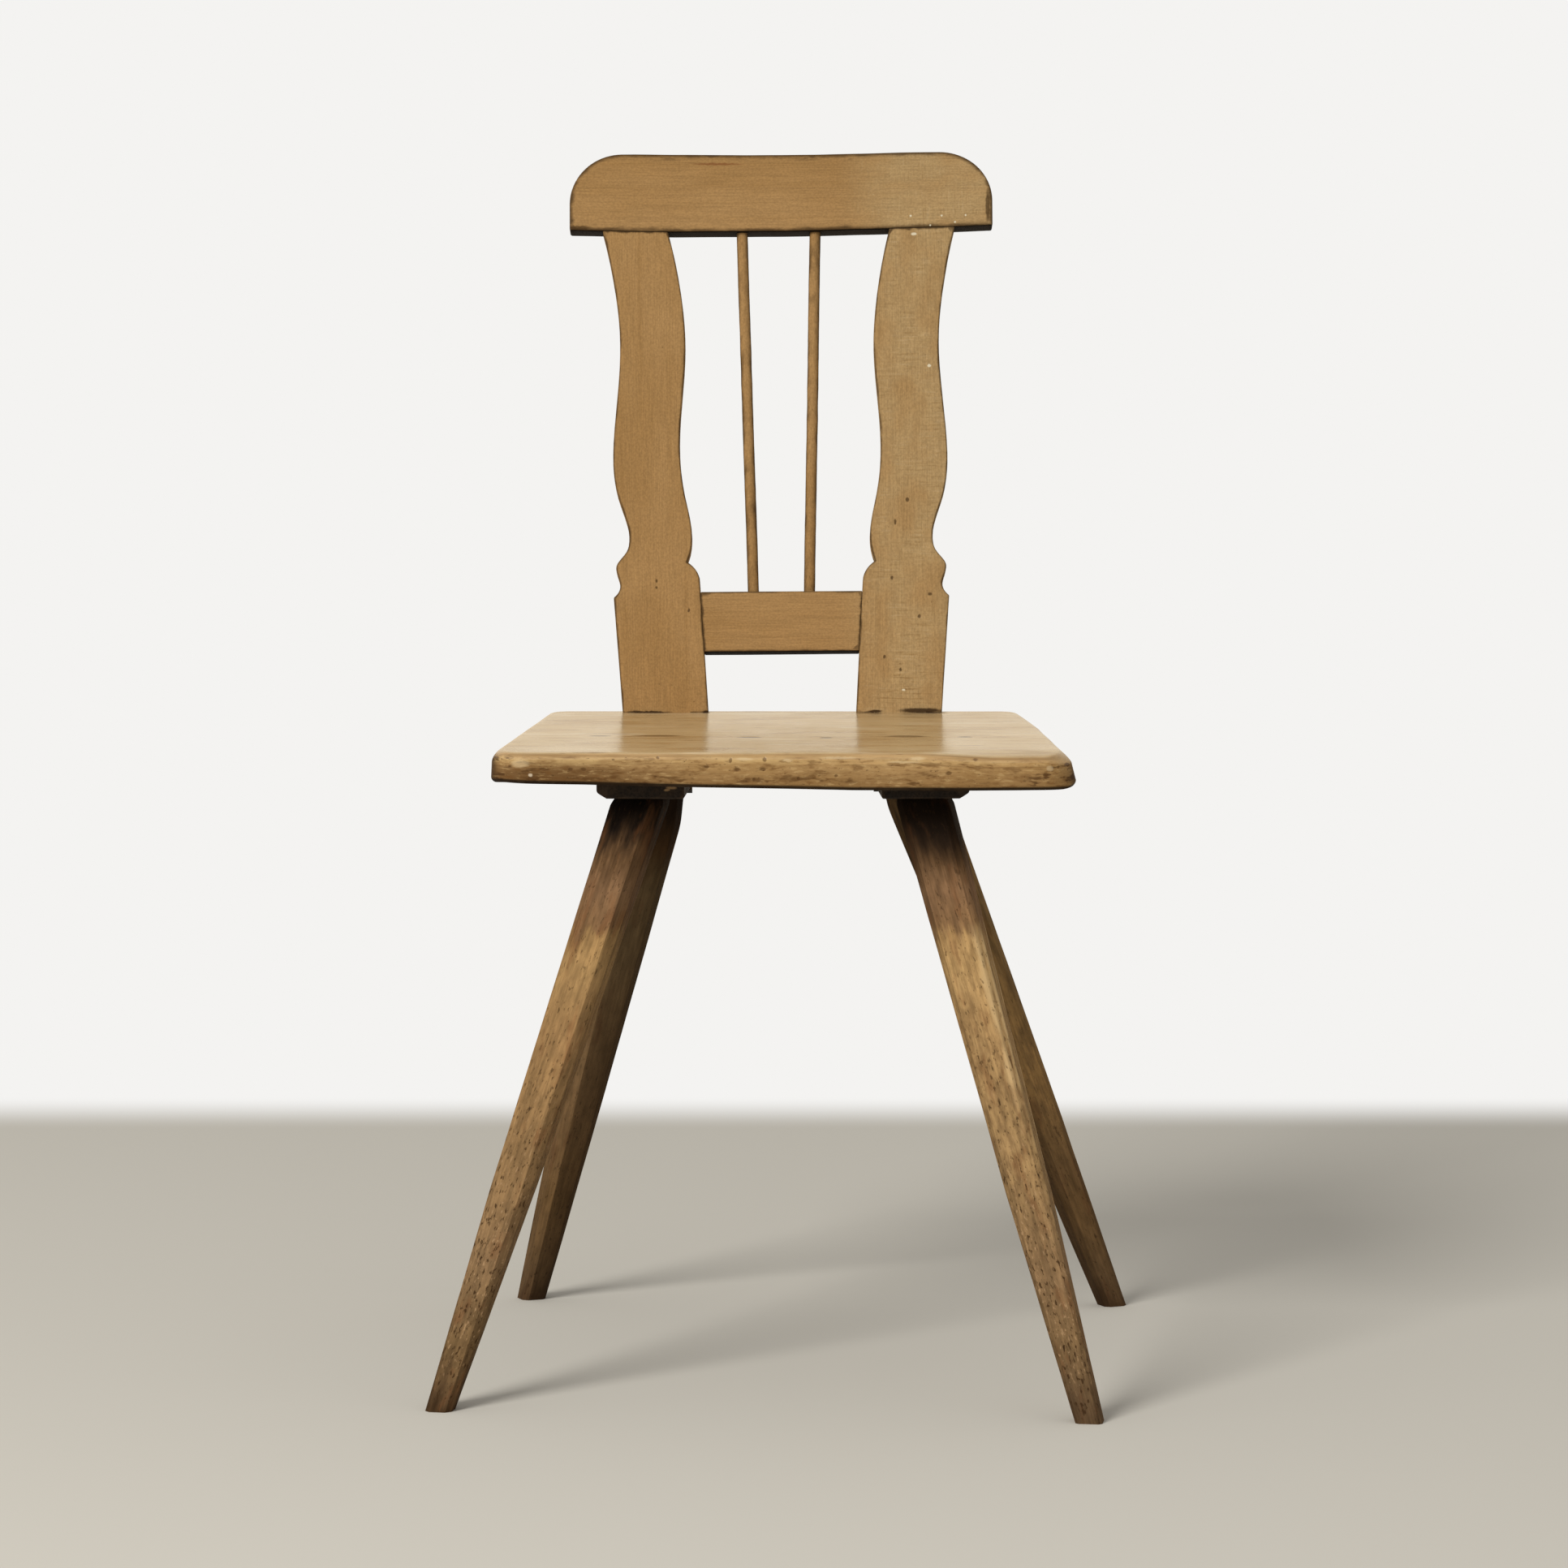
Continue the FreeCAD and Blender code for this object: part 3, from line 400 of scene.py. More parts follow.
# bare battens, keys and pegs
bare = {
    "battenOakAgedWithPaintedShade": {
        # near black: old oak darkened by age, with painted shade under the seat
        "body": "#1E1711",
        "layers": [("clouds", 0.35, 0.65, 0, 0.8, "#2E2319"), ("fibre", 0.45, 0.66, 0, 0.8, "#120D09"),
                   ("ragged", 0.0002, 0.0018, 0.4, 0, "#4A3826"), ("splinters", 0, 1, 0, 0.8, "#A9855A")],
        # a pale splintered place at the left front end, as (centre, half sizes) in mm
        "splinters": [((-85, -136.2, 427), (4.2, 4, 1.4)), ((-88, -136.2, 425.4), (2.6, 4, 1.1))],
    },
    "pegBeechSplitDry": {
        "body": "#7A5A34",
        "layers": [("clouds", 0.35, 0.65, 0, 0.9, "#96744A"), ("fibre", 0.45, 0.66, 0, 0.8, "#4A331C")],
    },
}
bareLook = {
    "gloss": 0.2, "raggedBy": 0.004, "depth": 0.2,
    "patterns": {"clouds": (18, 18, 60, 3), "fibre": (1.6, 1.6, 45, 4), "wander": (8, 8, 24, 3)},
    "roughness": ("fibre", 0.3, 0.7, 0.65, 0.82), "relief": {"fibre": 1},
}


def bareWood(name):
    # Unfinished wood gone dull with age and dust: hardly any gloss, fibre lines along the grain
    look = dict(bareLook, **bare[name])
    material, add, shader, place, fields = startWood(name, look)
    if "splinters" in look:
        fields["splinters"] = mapMarks(add, place, [(Vector(centre) * mm, Vector(sizes) * mm)
                                                    for centre, sizes in look["splinters"]])
    finishWood(add, shader, fields, paint(add, linear(look["body"]), fields, look["layers"]), look)
    return material


materials = {
    "glaze": ochreGlaze("ochreGlazeBrushedOnSpruce"),
    "wax": waxedSeat("waxedSprucePolishedByUse", wax["gloss"]),
    "dullWax": waxedSeat("waxedSpruceRubbedDull", wax["edgeGloss"]),  # edges and underside
    "frontLeg": stainedLeg("frontLegBeechStainedAndPlaned"),
    "rearLeg": stainedLeg("rearLegBeechStainedAndPlaned"),
    "batten": bareWood("battenOakAgedWithPaintedShade"),
    "peg": bareWood("pegBeechSplitDry"),
}
print("materials made:", len(materials))


def standFor(piece, slotName, *nodeNames):  # ride on the root and stand for the nodes, which it hides
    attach(piece, "root")
    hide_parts(*nodeNames)


def addObject(name, data):
    thing = bpy.data.objects.new(name, data)
    scene.collection.objects.link(thing)
    return thing


smoothBelow = {"board": 32, "tree": 40}  # degrees between faces


def smoothFaces(mesh, degrees):
    for face in mesh.polygons:
        face.use_smooth = True
    mesh.set_sharp_from_angle(angle=math.radians(degrees))


# boards: copies of the solids with rubbed arrises, a planed surface and grain coordinates
board = {
    "merge": 0.01 * mm, "flatWithin": math.radians(0.5), "sharpFrom": math.radians(35), "rimStep": 1.5 * mm,
    "cutSnap": 1e-7, "onFace": 0.02 * mm, "pegClear": 6 * mm, "grainShift": Vector((0.31, 0.17, 0.53)),
    "longWaves": 14, "shortWaves": 45, "shortShare": 0.5,  # unevenness, in waves per metre
}


def dressBoard(nodeName, boardFrame, grainAxes, look, material):
    shape = bmesh.new()
    shape.from_mesh(nodes[nodeName].data)
    bmesh.ops.remove_doubles(shape, verts=shape.verts, dist=board["merge"])
    bmesh.ops.dissolve_limit(shape, angle_limit=board["flatWithin"], verts=shape.verts, edges=shape.edges)
    shape.transform(boardFrame.inverted())
    sharp = [e for e in shape.edges if len(e.link_faces) == 2 and e.calc_face_angle() > board["sharpFrom"]]
    rim = kdtree.KDTree(sum(int(e.calc_length() / board["rimStep"]) + 2 for e in sharp))
    for edge in sharp:
        steps = int(edge.calc_length() / board["rimStep"]) + 1
        for step in range(steps + 1):
            rim.insert(edge.verts[0].co.lerp(edge.verts[1].co, step / steps), 0)
    rim.balance()
    worn = [e for e in sharp if look["isWorn"]((e.verts[0].co + e.verts[1].co) / 2, e)]
    if worn:
        bmesh.ops.bevel(shape, geom=worn, offset=look["arris"], segments=3, profile=0.5, affect="EDGES",
                        clamp_overlap=False)
    low = Vector(min(v.co[i] for v in shape.verts) for i in range(3))
    high = Vector(max(v.co[i] for v in shape.verts) for i in range(3))
    for axis in look["cutAxes"]:  # cuts give the flat faces enough points to be planed
        normal = Vector((axis == 0, axis == 1, axis == 2))
        count = int((high[axis] - low[axis]) / look["cell"])
        for step in range(1, count):
            level = low[axis] + (high[axis] - low[axis]) * step / count
            bmesh.ops.bisect_plane(shape, geom=shape.verts[:] + shape.edges[:] + shape.faces[:],
                                   dist=board["cutSnap"], plane_co=normal * level, plane_no=normal)
    shape.normal_update()
    grainLayer = shape.verts.layers.float_vector.new("grain")
    arrisLayer = shape.verts.layers.float.new("arris")
    offset = board["grainShift"] * look["seed"]
    for vert in shape.verts:
        vert[arrisLayer] = rim.find(vert.co)[2] / look.get("rimWidth", 1)
        vert[grainLayer] = Vector(vert.co[i] for i in grainAxes) + offset
    for vert in shape.verts:
        swell = noise.noise(vert[grainLayer] * board["longWaves"])
        swell += board["shortShare"] * noise.noise(vert[grainLayer] * board["shortWaves"])
        vert.co += vert.normal * swell * look["planing"]
        if "shapeBy" in look:
            look["shapeBy"](vert)
    shape.transform(boardFrame)
    mesh = bpy.data.meshes.new(nodeName + "Worn")
    shape.to_mesh(mesh)
    shape.free()
    smoothFaces(mesh, smoothBelow["board"])
    mesh.materials.append(material)
    return addObject(nodeName + "Worn", mesh)


def onFaces(thickness, pegs=(), lowest=0, highest=1):  # outline edges on a board's front or rear, clear of peg holes
    def test(middle, edge):
        onFace = all(min(abs(v.co.y), abs(v.co.y - thickness)) < board["onFace"] for v in edge.verts)
        clear = all((Vector((middle.x, middle.z)) - Vector(peg)).length > board["pegClear"] for peg in pegs)
        return onFace and clear and lowest < middle.z < highest
    return test


# the crest has bowed with age: how far its lower and upper edges lie above the straight ones, as (x, rise) in mm
bow = {
    "foot": chair["backRise"], "head": chair["backRise"] + 61.4 * mm, "stileFrom": 40 * mm,
    "low": [(-160, 2.4), (-140, 1.8), (-118, 1.0), (-80, 0.3), (0, 0.35), (30, 0.7), (58, 1.3), (75, 1.5),
            (130, 2.7), (160, 3.8)],
    "high": [(-160, 0.2), (-109, 0.1), (-81, -0.6), (-44, -1.1), (0, -1.4), (30, -1.4), (58, -0.8), (77, -0.45),
             (95, 0)],
}


def bowCrest(vert):
    share = (vert.co.z - bow["foot"]) / (bow["head"] - bow["foot"])
    for edge, weight in (("low", 1 - share), ("high", share)):
        vert.co.z += readTable(bow[edge], vert.co.x) * mm * clamp(weight)


def followCrest(vert):  # the stiles' heads follow the crest's lower edge
    share = (vert.co.z - bow["foot"]) / bow["stileFrom"] + 1
    vert.co.z += readTable(bow["low"], vert.co.x) * mm * clamp(share)


# stiles
stileSizes = {
    "thickness": 20 * mm, "arris": 1.1 * mm, "cell": 5 * mm, "cutAxes": (0, 2), "planing": 0.12 * mm, "rimWidth": 0.8,
    "shapeBy": followCrest, "pegX": 70.9 * mm, "pegZ": 69.7 * mm, "wornFrom": 5 * mm,
    "wornTo": chair["backRise"] - 0.5 * mm,
}
for seed, (side, name) in enumerate(((-1, "left_stile"), (1, "right_stile")), 1):
    worn = onFaces(stileSizes["thickness"], [(side * stileSizes["pegX"], stileSizes["pegZ"])],
                   stileSizes["wornFrom"], stileSizes["wornTo"])
    look = dict(stileSizes, isWorn=worn, seed=seed)
    standFor(dressBoard(name, backFrame, (0, 1, 2), look, materials["glaze"]), "ochre_glazed_wood", name)
print("stiles dressed")

# crest and lower rail, grain across the chair
crestSizes = {
    "thickness": 22 * mm, "arris": 1.6 * mm, "cell": 5 * mm, "cutAxes": (0, 2), "planing": 0.2 * mm, "rimWidth": 1.9,
    "shapeBy": bowCrest, "seed": 3, "pegX": 106 * mm, "pegZ": 387.5 * mm,
}
crestPegs = [(side * crestSizes["pegX"], crestSizes["pegZ"]) for side in (-1, 1)]
crestSizes["isWorn"] = onFaces(crestSizes["thickness"], crestPegs)
railSizes = {
    "thickness": 18 * mm, "arris": 0.8 * mm, "cell": 5 * mm, "cutAxes": (0, 2), "planing": 0.1 * mm, "rimWidth": 0.9,
    "seed": 4, "gap": 46.8 * mm, "height": 45.8 * mm,
}
railSizes["isWorn"] = onFaces(railSizes["thickness"])
for name, look in (("crest_rail", crestSizes), ("lower_rail", railSizes)):
    standFor(dressBoard(name, backFrame, (2, 1, 0), look, materials["glaze"]), "ochre_glazed_wood", name)
print("rails dressed")

# seat: front corners rubbed rounder than they were sawn, the front's lower edge planed up on the left and left proud
# on the right, as (x, rise) in mm, and the brow worn down on the right
seatSizes = {
    "arris": 0, "isWorn": lambda middle, edge: False, "cell": 6 * mm, "cutAxes": (0, 1), "planing": 0.16 * mm,
    "seed": 5, "sawnRadius": 16 * mm, "rubbedRadius": 25 * mm, "browWear": 2.6 * mm,
    "lowerEdge": [(-200, 2.7), (-179, 1.9), (-145, 1.4), (-60, -0.6), (-9, -1.35), (42, -2.5), (128, -2.75),
                  (179, -2.4)],
    # where each of these begins and where it is full, in mm
    "wear": {"edge": (-137, -167), "brow": (-150, -170), "under": (449, 433), "top": (437, 453), "right": (90, 140)},
    # the sides' upper edges rubbed in, as (y, inward) in mm, and how much of that is left further down, as (z, share)
    "leftRub": [(-176, 3.2), (-150, 1.2), (-130, 0)],
    "rightRub": [(-170, 8.4), (-124, 7), (-80, 5.6), (-35, 3.5), (9, 2.1), (53, 0)],
    "rubShare": [(437, 0), (440, 0.15), (443.7, 0.25), (447, 0.42), (450.5, 0.73), (455, 1)], "rubWidth": 30 * mm,
    "dullBelow": 0.45,  # faces whose normal rises less than this have lost their polish
}


def rubSeat(vert):
    slope = (chair["seatFrontHalf"] - chair["seatRearHalf"]) / chair["seatDepth"]
    radius, sawn = seatSizes["rubbedRadius"], seatSizes["sawnRadius"]
    middleX = chair["seatFrontHalf"] - slope * radius - radius * math.hypot(1, slope)
    out = abs(vert.co.x - chair["seatMiddleX"]) - middleX
    ahead = chair["seatFront"] + radius - vert.co.y
    if out > 0 and ahead > 0:  # in a front corner, from the sawn outline in to the rubbed one
        tiny = 1e-6
        reach = math.hypot(out, ahead)
        across, along = out / reach, ahead / reach
        toSide = radius * math.hypot(1, slope) / max(across - slope * along, tiny)
        toFront = radius / max(along, tiny)
        arcX = chair["seatFrontHalf"] - slope * sawn - sawn * math.hypot(1, slope) - middleX
        arcY = radius - sawn
        projected = arcX * across + arcY * along
        toArc = projected + math.sqrt(max(projected ** 2 - arcX ** 2 - arcY ** 2 + sawn ** 2, 0))
        edge = toArc if toArc * across > arcX and toArc * along > arcY else min(toSide, toFront)
        shrink = min(1, radius / edge)
        vert.co.x -= math.copysign(out * (1 - shrink), vert.co.x - chair["seatMiddleX"])
        vert.co.y += ahead * (1 - shrink)
    x, y, z = vert.co
    worn = {}
    for kind, spot in (("edge", y), ("brow", y), ("under", z), ("top", z), ("right", x)):
        start, full = seatSizes["wear"][kind]
        worn[kind] = clamp((spot / mm - start) / (full - start))
    rise = readTable(seatSizes["lowerEdge"], x) * mm * worn["edge"] * worn["under"]
    vert.co.z += rise - seatSizes["browWear"] * worn["brow"] * worn["top"] * worn["right"]
    side = math.copysign(1, x - chair["seatMiddleX"])
    half = chair["seatFrontHalf"] - slope * (y - chair["seatFront"])
    nearSide = clamp(1 - (half - side * (x - chair["seatMiddleX"])) / seatSizes["rubWidth"])
    inward = readTable(seatSizes["rightRub" if side > 0 else "leftRub"], y) * mm
    vert.co.x -= side * inward * readTable(seatSizes["rubShare"], z) * nearSide


seatSizes["shapeBy"] = rubSeat
seat = dressBoard("seat_plank", Matrix.Identity(4), (1, 2, 0), seatSizes, materials["wax"])
seat.data.materials.append(materials["dullWax"])
for face in seat.data.polygons:
    if face.normal.z < seatSizes["dullBelow"]:
        face.material_index = 1
standFor(seat, "waxed_seat_wood", "seat_plank")
print("seat dressed")

# battens, grain front to back, and the keys under them
battenSizes = {
    "arris": 1.5 * mm, "cell": 8 * mm, "cutAxes": (0, 1), "planing": 0.15 * mm, "firstSeed": 7,
    "wornLength": 12 * mm, "wornBelow": chair["seatUnder"] - 1 * mm,
    "isWorn": lambda middle, edge: (edge.calc_length() > battenSizes["wornLength"]
                                    and middle.z < battenSizes["wornBelow"]),
}
for seed, name in enumerate(("left_batten", "right_batten"), battenSizes["firstSeed"]):
    look = dict(battenSizes, seed=seed)
    standFor(dressBoard(name, Matrix.Identity(4), (0, 2, 1), look, materials["batten"]), "smoked_batten_wood", name)
keySizes = {
    "arris": 0.7 * mm, "isWorn": lambda middle, edge: True, "cell": 6 * mm, "cutAxes": (1,), "planing": 0.1 * mm,
    "firstSeed": 10,
}
for seed, name in enumerate(("left_stile_key", "right_stile_key"), keySizes["firstSeed"]):
    look = dict(keySizes, seed=seed)
    standFor(dressBoard(name, Matrix.Identity(4), (0, 2, 1), look, materials["peg"]), "split_peg_wood", name)
print("battens and keys dressed")


# Geometry Nodes: trees with named inputs, turned into plain meshes
def startTree(name, sockets):
    tree = bpy.data.node_groups.new(name, "GeometryNodeTree")
    tree.interface.new_socket("Geometry", in_out="OUTPUT", socket_type="NodeSocketGeometry")
    for kind, names in sockets.items():
        for socket in names:
            tree.interface.new_socket(socket, in_out="INPUT", socket_type="NodeSocket" + kind)
    add = partial(addNode, tree)
    return tree, add, add("NodeGroupInput", out=None).outputs


def endTree(add, geometry, material):
    whole = add("GeometryNodeRealizeInstances", {0: geometry})
    dressed = add("GeometryNodeSetMaterial", {"Geometry": whole, "Material": material})
    add("NodeGroupOutput", {0: dressed}, out=None)


def runTree(tree, name, values):
    piece = addObject(name, bpy.data.meshes.new(name + "Start"))
    modifier = piece.modifiers.new(tree.name, "NODES")
    modifier.node_group = tree
    for socket in tree.interface.items_tree:
        if socket.in_out == "INPUT":
            modifier[socket.identifier] = values[socket.name]
    graph = bpy.context.evaluated_depsgraph_get()
    mesh = bpy.data.meshes.new_from_object(piece.evaluated_get(graph))
    piece.modifiers.remove(modifier)
    piece.data = mesh
    mesh.name = name
    smoothFaces(mesh, smoothBelow["tree"])
    return piece


# legs: a square bar with its corners planed off, tapering to the foot, leaning from foot to socket
legSizes = {
    "Foot Width": 18.8 * mm, "Swell Width": 29.5 * mm, "Swell Height": 150 * mm, "Arris Share": 0.035,
    "Neck Blend": 3 * mm, "Planing": 0.35 * mm, "Waves Across": 30.0, "Waves Along": 14.0,  # waves per metre
    "True Foot": 10 * mm, "Tenon Radius": 12 * mm, "Tenon Length": 20 * mm,
}
legRings, legSeedStep = 140, 0.37
# each leg was planed and cut in to its neck by eye: top is its widest place, drop how far below the batten that lies,
# corner the share of the width planed off at each corner
legPlaces = {
    "front_left_leg": {"foot": (-245.1, -233.7), "spread": -99.7, "toeIn": -2.4, "reach": 28, "turn": -12,
                       "top": 38, "neck": 34, "drop": 5, "corner": 0.2},
    "front_right_leg": {"foot": (206, -277.2), "spread": 102, "toeIn": 2.4, "reach": 28, "turn": -8,
                        "top": 38, "neck": 34, "drop": 5, "corner": 0.13},
    "rear_left_leg": {"foot": (-199.3, 225.8), "spread": -99.7, "toeIn": -2.4, "reach": 240, "turn": 22,
                      "top": 43.5, "neck": 33, "drop": 42, "corner": 0.2},
    "rear_right_leg": {"foot": (244.9, 195.8), "spread": 102, "toeIn": 2.4, "reach": 240, "turn": 25,
                       "top": 42, "neck": 33, "drop": 30, "corner": 0.2},
}


def planedLegTree():
    tree, add, given = startTree("planedLeg", {
        "Vector": ("Foot", "Top"), "Material": ("Material",), "Int": ("Rings",),
        "Float": ("Turn", "Top Width", "Neck Width", "Neck Drop", "Corner Share", "Seed", *legSizes)})
    lean = add("VectorMath", {0: given["Top"], 1: given["Foot"]}, operation="SUBTRACT")
    rise = add("SeparateXYZ", {0: lean}, out=2)
    shoulder = add("Math", {0: rise, 1: given["Neck Drop"]}, operation="SUBTRACT")
    spot = add("GeometryNodeInputPosition")
    level = add("SeparateXYZ", {0: spot}, out=2)

    # the width follows three straight runs: foot to swell, swell to shoulder, shoulder to neck
    runs = []
    for low, high, start, end in ((0, given["Swell Height"], "Foot Width", "Swell Width"),
                                  (given["Swell Height"], shoulder, "Swell Width", "Top Width"),
                                  (shoulder, rise, "Top Width", "Neck Width")):
        runs.append(add("MapRange", {0: level, 1: low, 2: high, 3: given[start], 4: given[end]}, clamp=False))
    taper = add("Math", {0: runs[0], 1: runs[1]}, operation="MINIMUM")
    width = add("Math", {0: taper, 1: runs[2], 2: given["Neck Blend"]}, operation="SMOOTH_MIN")

    post = add("GeometryNodeCurvePrimitiveLine", {"End": add("CombineXYZ", {2: rise})})
    post = add("GeometryNodeResampleCurve", {"Curve": post, "Count": given["Rings"]})
    bar = add("GeometryNodeCurvePrimitiveQuadrilateral", {"Width": 1, "Height": 1})
    for count, radius in ((1, given["Corner Share"]), (3, given["Arris Share"])):  # planed corners, then rubbed arrises
        bar = add("GeometryNodeFilletCurve", {"Curve": bar, "Count": count, "Radius": radius}, mode="POLY")
    bar = add("GeometryNodeSubdivideCurve", {"Curve": bar, "Cuts": 3})
    leg = add("GeometryNodeCurveToMesh", {"Curve": post, "Profile Curve": bar, "Scale": width, "Fill Caps": True})

    # how far each point is from the nearest arris of the section
    folded = add("VectorMath", {0: spot}, operation="ABSOLUTE")
    section = add("VectorMath", {0: folded, 1: (1, 1, 0)}, operation="MULTIPLY")
    flat = add("Math", {0: 0.5, 1: given["Corner Share"]}, operation="SUBTRACT")
    away = []
    for corner in ({0: 0.5, 1: flat}, {0: flat, 1: 0.5}):
        point = add("CombineXYZ", corner)
        point = add("VectorMath", {0: point, "Scale": width}, operation="SCALE")
        away.append(add("VectorMath", {0: section, 1: point}, out="Value", operation="DISTANCE"))
    nearest = add("Math", {0: away[0], 1: away[1]}, operation="MINIMUM")
    leg = add("GeometryNodeStoreNamedAttribute", {"Geometry": leg, "Name": "arris", "Value": nearest})
    shift = add("CombineXYZ", {1: given["Seed"], 2: given["Seed"]})
    shifted = add("VectorMath", {0: spot, 1: shift}, operation="ADD")
    leg = add("GeometryNodeStoreNamedAttribute", {"Geometry": leg, "Name": "grain", "Value": shifted},
              data_type="FLOAT_VECTOR")

    # the plane left the faces a little uneven; the foot and the neck stay true
    waves = add("CombineXYZ", {0: given["Waves Across"], 1: given["Waves Across"], 2: given["Waves Along"]})
    scaled = add("VectorMath", {0: shifted, 1: waves}, operation="MULTIPLY")
    coarse = add("TexNoise", {"Vector": scaled, "Scale": 1, "Detail": 2})
    depth = add("MapRange", {0: coarse, 1: 0, 2: 1, 3: -1, 4: 1})
    for low, high in ((0, given["True Foot"]), (rise, shoulder)):
        trueness = add("MapRange", {0: level, 1: low, 2: high, 3: 0, 4: 1})
        depth = add("Math", {0: depth, 1: trueness}, operation="MULTIPLY")
    depth = add("Math", {0: depth, 1: given["Planing"]}, operation="MULTIPLY")
    outward = add("VectorMath", {0: add("GeometryNodeInputNormal"), "Scale": depth}, operation="SCALE")
    leg = add("GeometryNodeSetPosition", {"Geometry": leg, "Offset": outward})
    turn = add("CombineXYZ", {2: given["Turn"]})
    leg = add("GeometryNodeTransform", {"Geometry": leg, "Rotation": turn})
    share = add("Math", {0: level, 1: rise}, operation="DIVIDE")
    sideways = add("VectorMath", {0: lean, 1: (1, 1, 0)}, operation="MULTIPLY")
    slide = add("VectorMath", {0: sideways, "Scale": share}, operation="SCALE")
    leg = add("GeometryNodeSetPosition", {"Geometry": leg, "Offset": slide})

    # round tenon up into the batten
    axis = add("VectorMath", {0: lean}, operation="NORMALIZE")
    reach = add("VectorMath", {0: axis, "Scale": given["Tenon Length"]}, operation="SCALE")
    tip = add("VectorMath", {0: lean, 1: reach}, operation="ADD")
    stub = add("GeometryNodeCurvePrimitiveLine", {"Start": lean, "End": tip})
    ring = add("GeometryNodeCurvePrimitiveCircle", {"Resolution": 32, "Radius": given["Tenon Radius"]})
    tenon = add("GeometryNodeCurveToMesh", {"Curve": stub, "Profile Curve": ring, "Fill Caps": True})
    both = add("GeometryNodeJoinGeometry", {0: leg}, out=None)
    tree.links.new(tenon, both.inputs[0])
    leg = add("GeometryNodeTransform", {"Geometry": both.outputs[0], "Translation": given["Foot"]})
    endTree(add, leg, given["Material"])
    return tree


legTree = planedLegTree()
for seed, (name, spot) in enumerate(legPlaces.items()):
    toeIn = math.radians(spot["toeIn"])
    top = Vector((chair["middleX"] + spot["spread"] * mm - math.sin(toeIn) * spot["reach"] * mm,
                  chair["battenFront"] + math.cos(toeIn) * spot["reach"] * mm, chair["battenUnder"]))
    values = {
        **legSizes, "Foot": Vector((spot["foot"][0] * mm, spot["foot"][1] * mm, 0)), "Top": top, "Rings": legRings,
        "Top Width": spot["top"] * mm, "Neck Width": spot["neck"] * mm, "Neck Drop": spot["drop"] * mm,
        "Corner Share": spot["corner"], "Turn": math.radians(spot["turn"]), "Seed": legSeedStep * seed,
        "Material": materials["frontLeg" if name.startswith("front") else "rearLeg"],
    }
    standFor(runTree(legTree, name + "Planed", values), "worn_leg_wood", name)
print("legs made")

# spindles: thin shaved rods, never quite round or straight, with painted shade down their sides
spindleSizes = {
    "Radius": 4.3 * mm, "Thinnest": 0.95, "Thickest": 1.02, "Lump Waves": 22.0, "Sway": 4 * mm, "Sway Waves": 3.0,
    "Side Shade Width": 2.2 * mm,
}
spindlePlaces = {
    "foot": 21.2 * mm, "head": 27.8 * mm, "low": railSizes["gap"] + railSizes["height"], "depth": 9 * mm,
    "sink": 12 * mm, "rings": 90, "seed": 2.0,
}


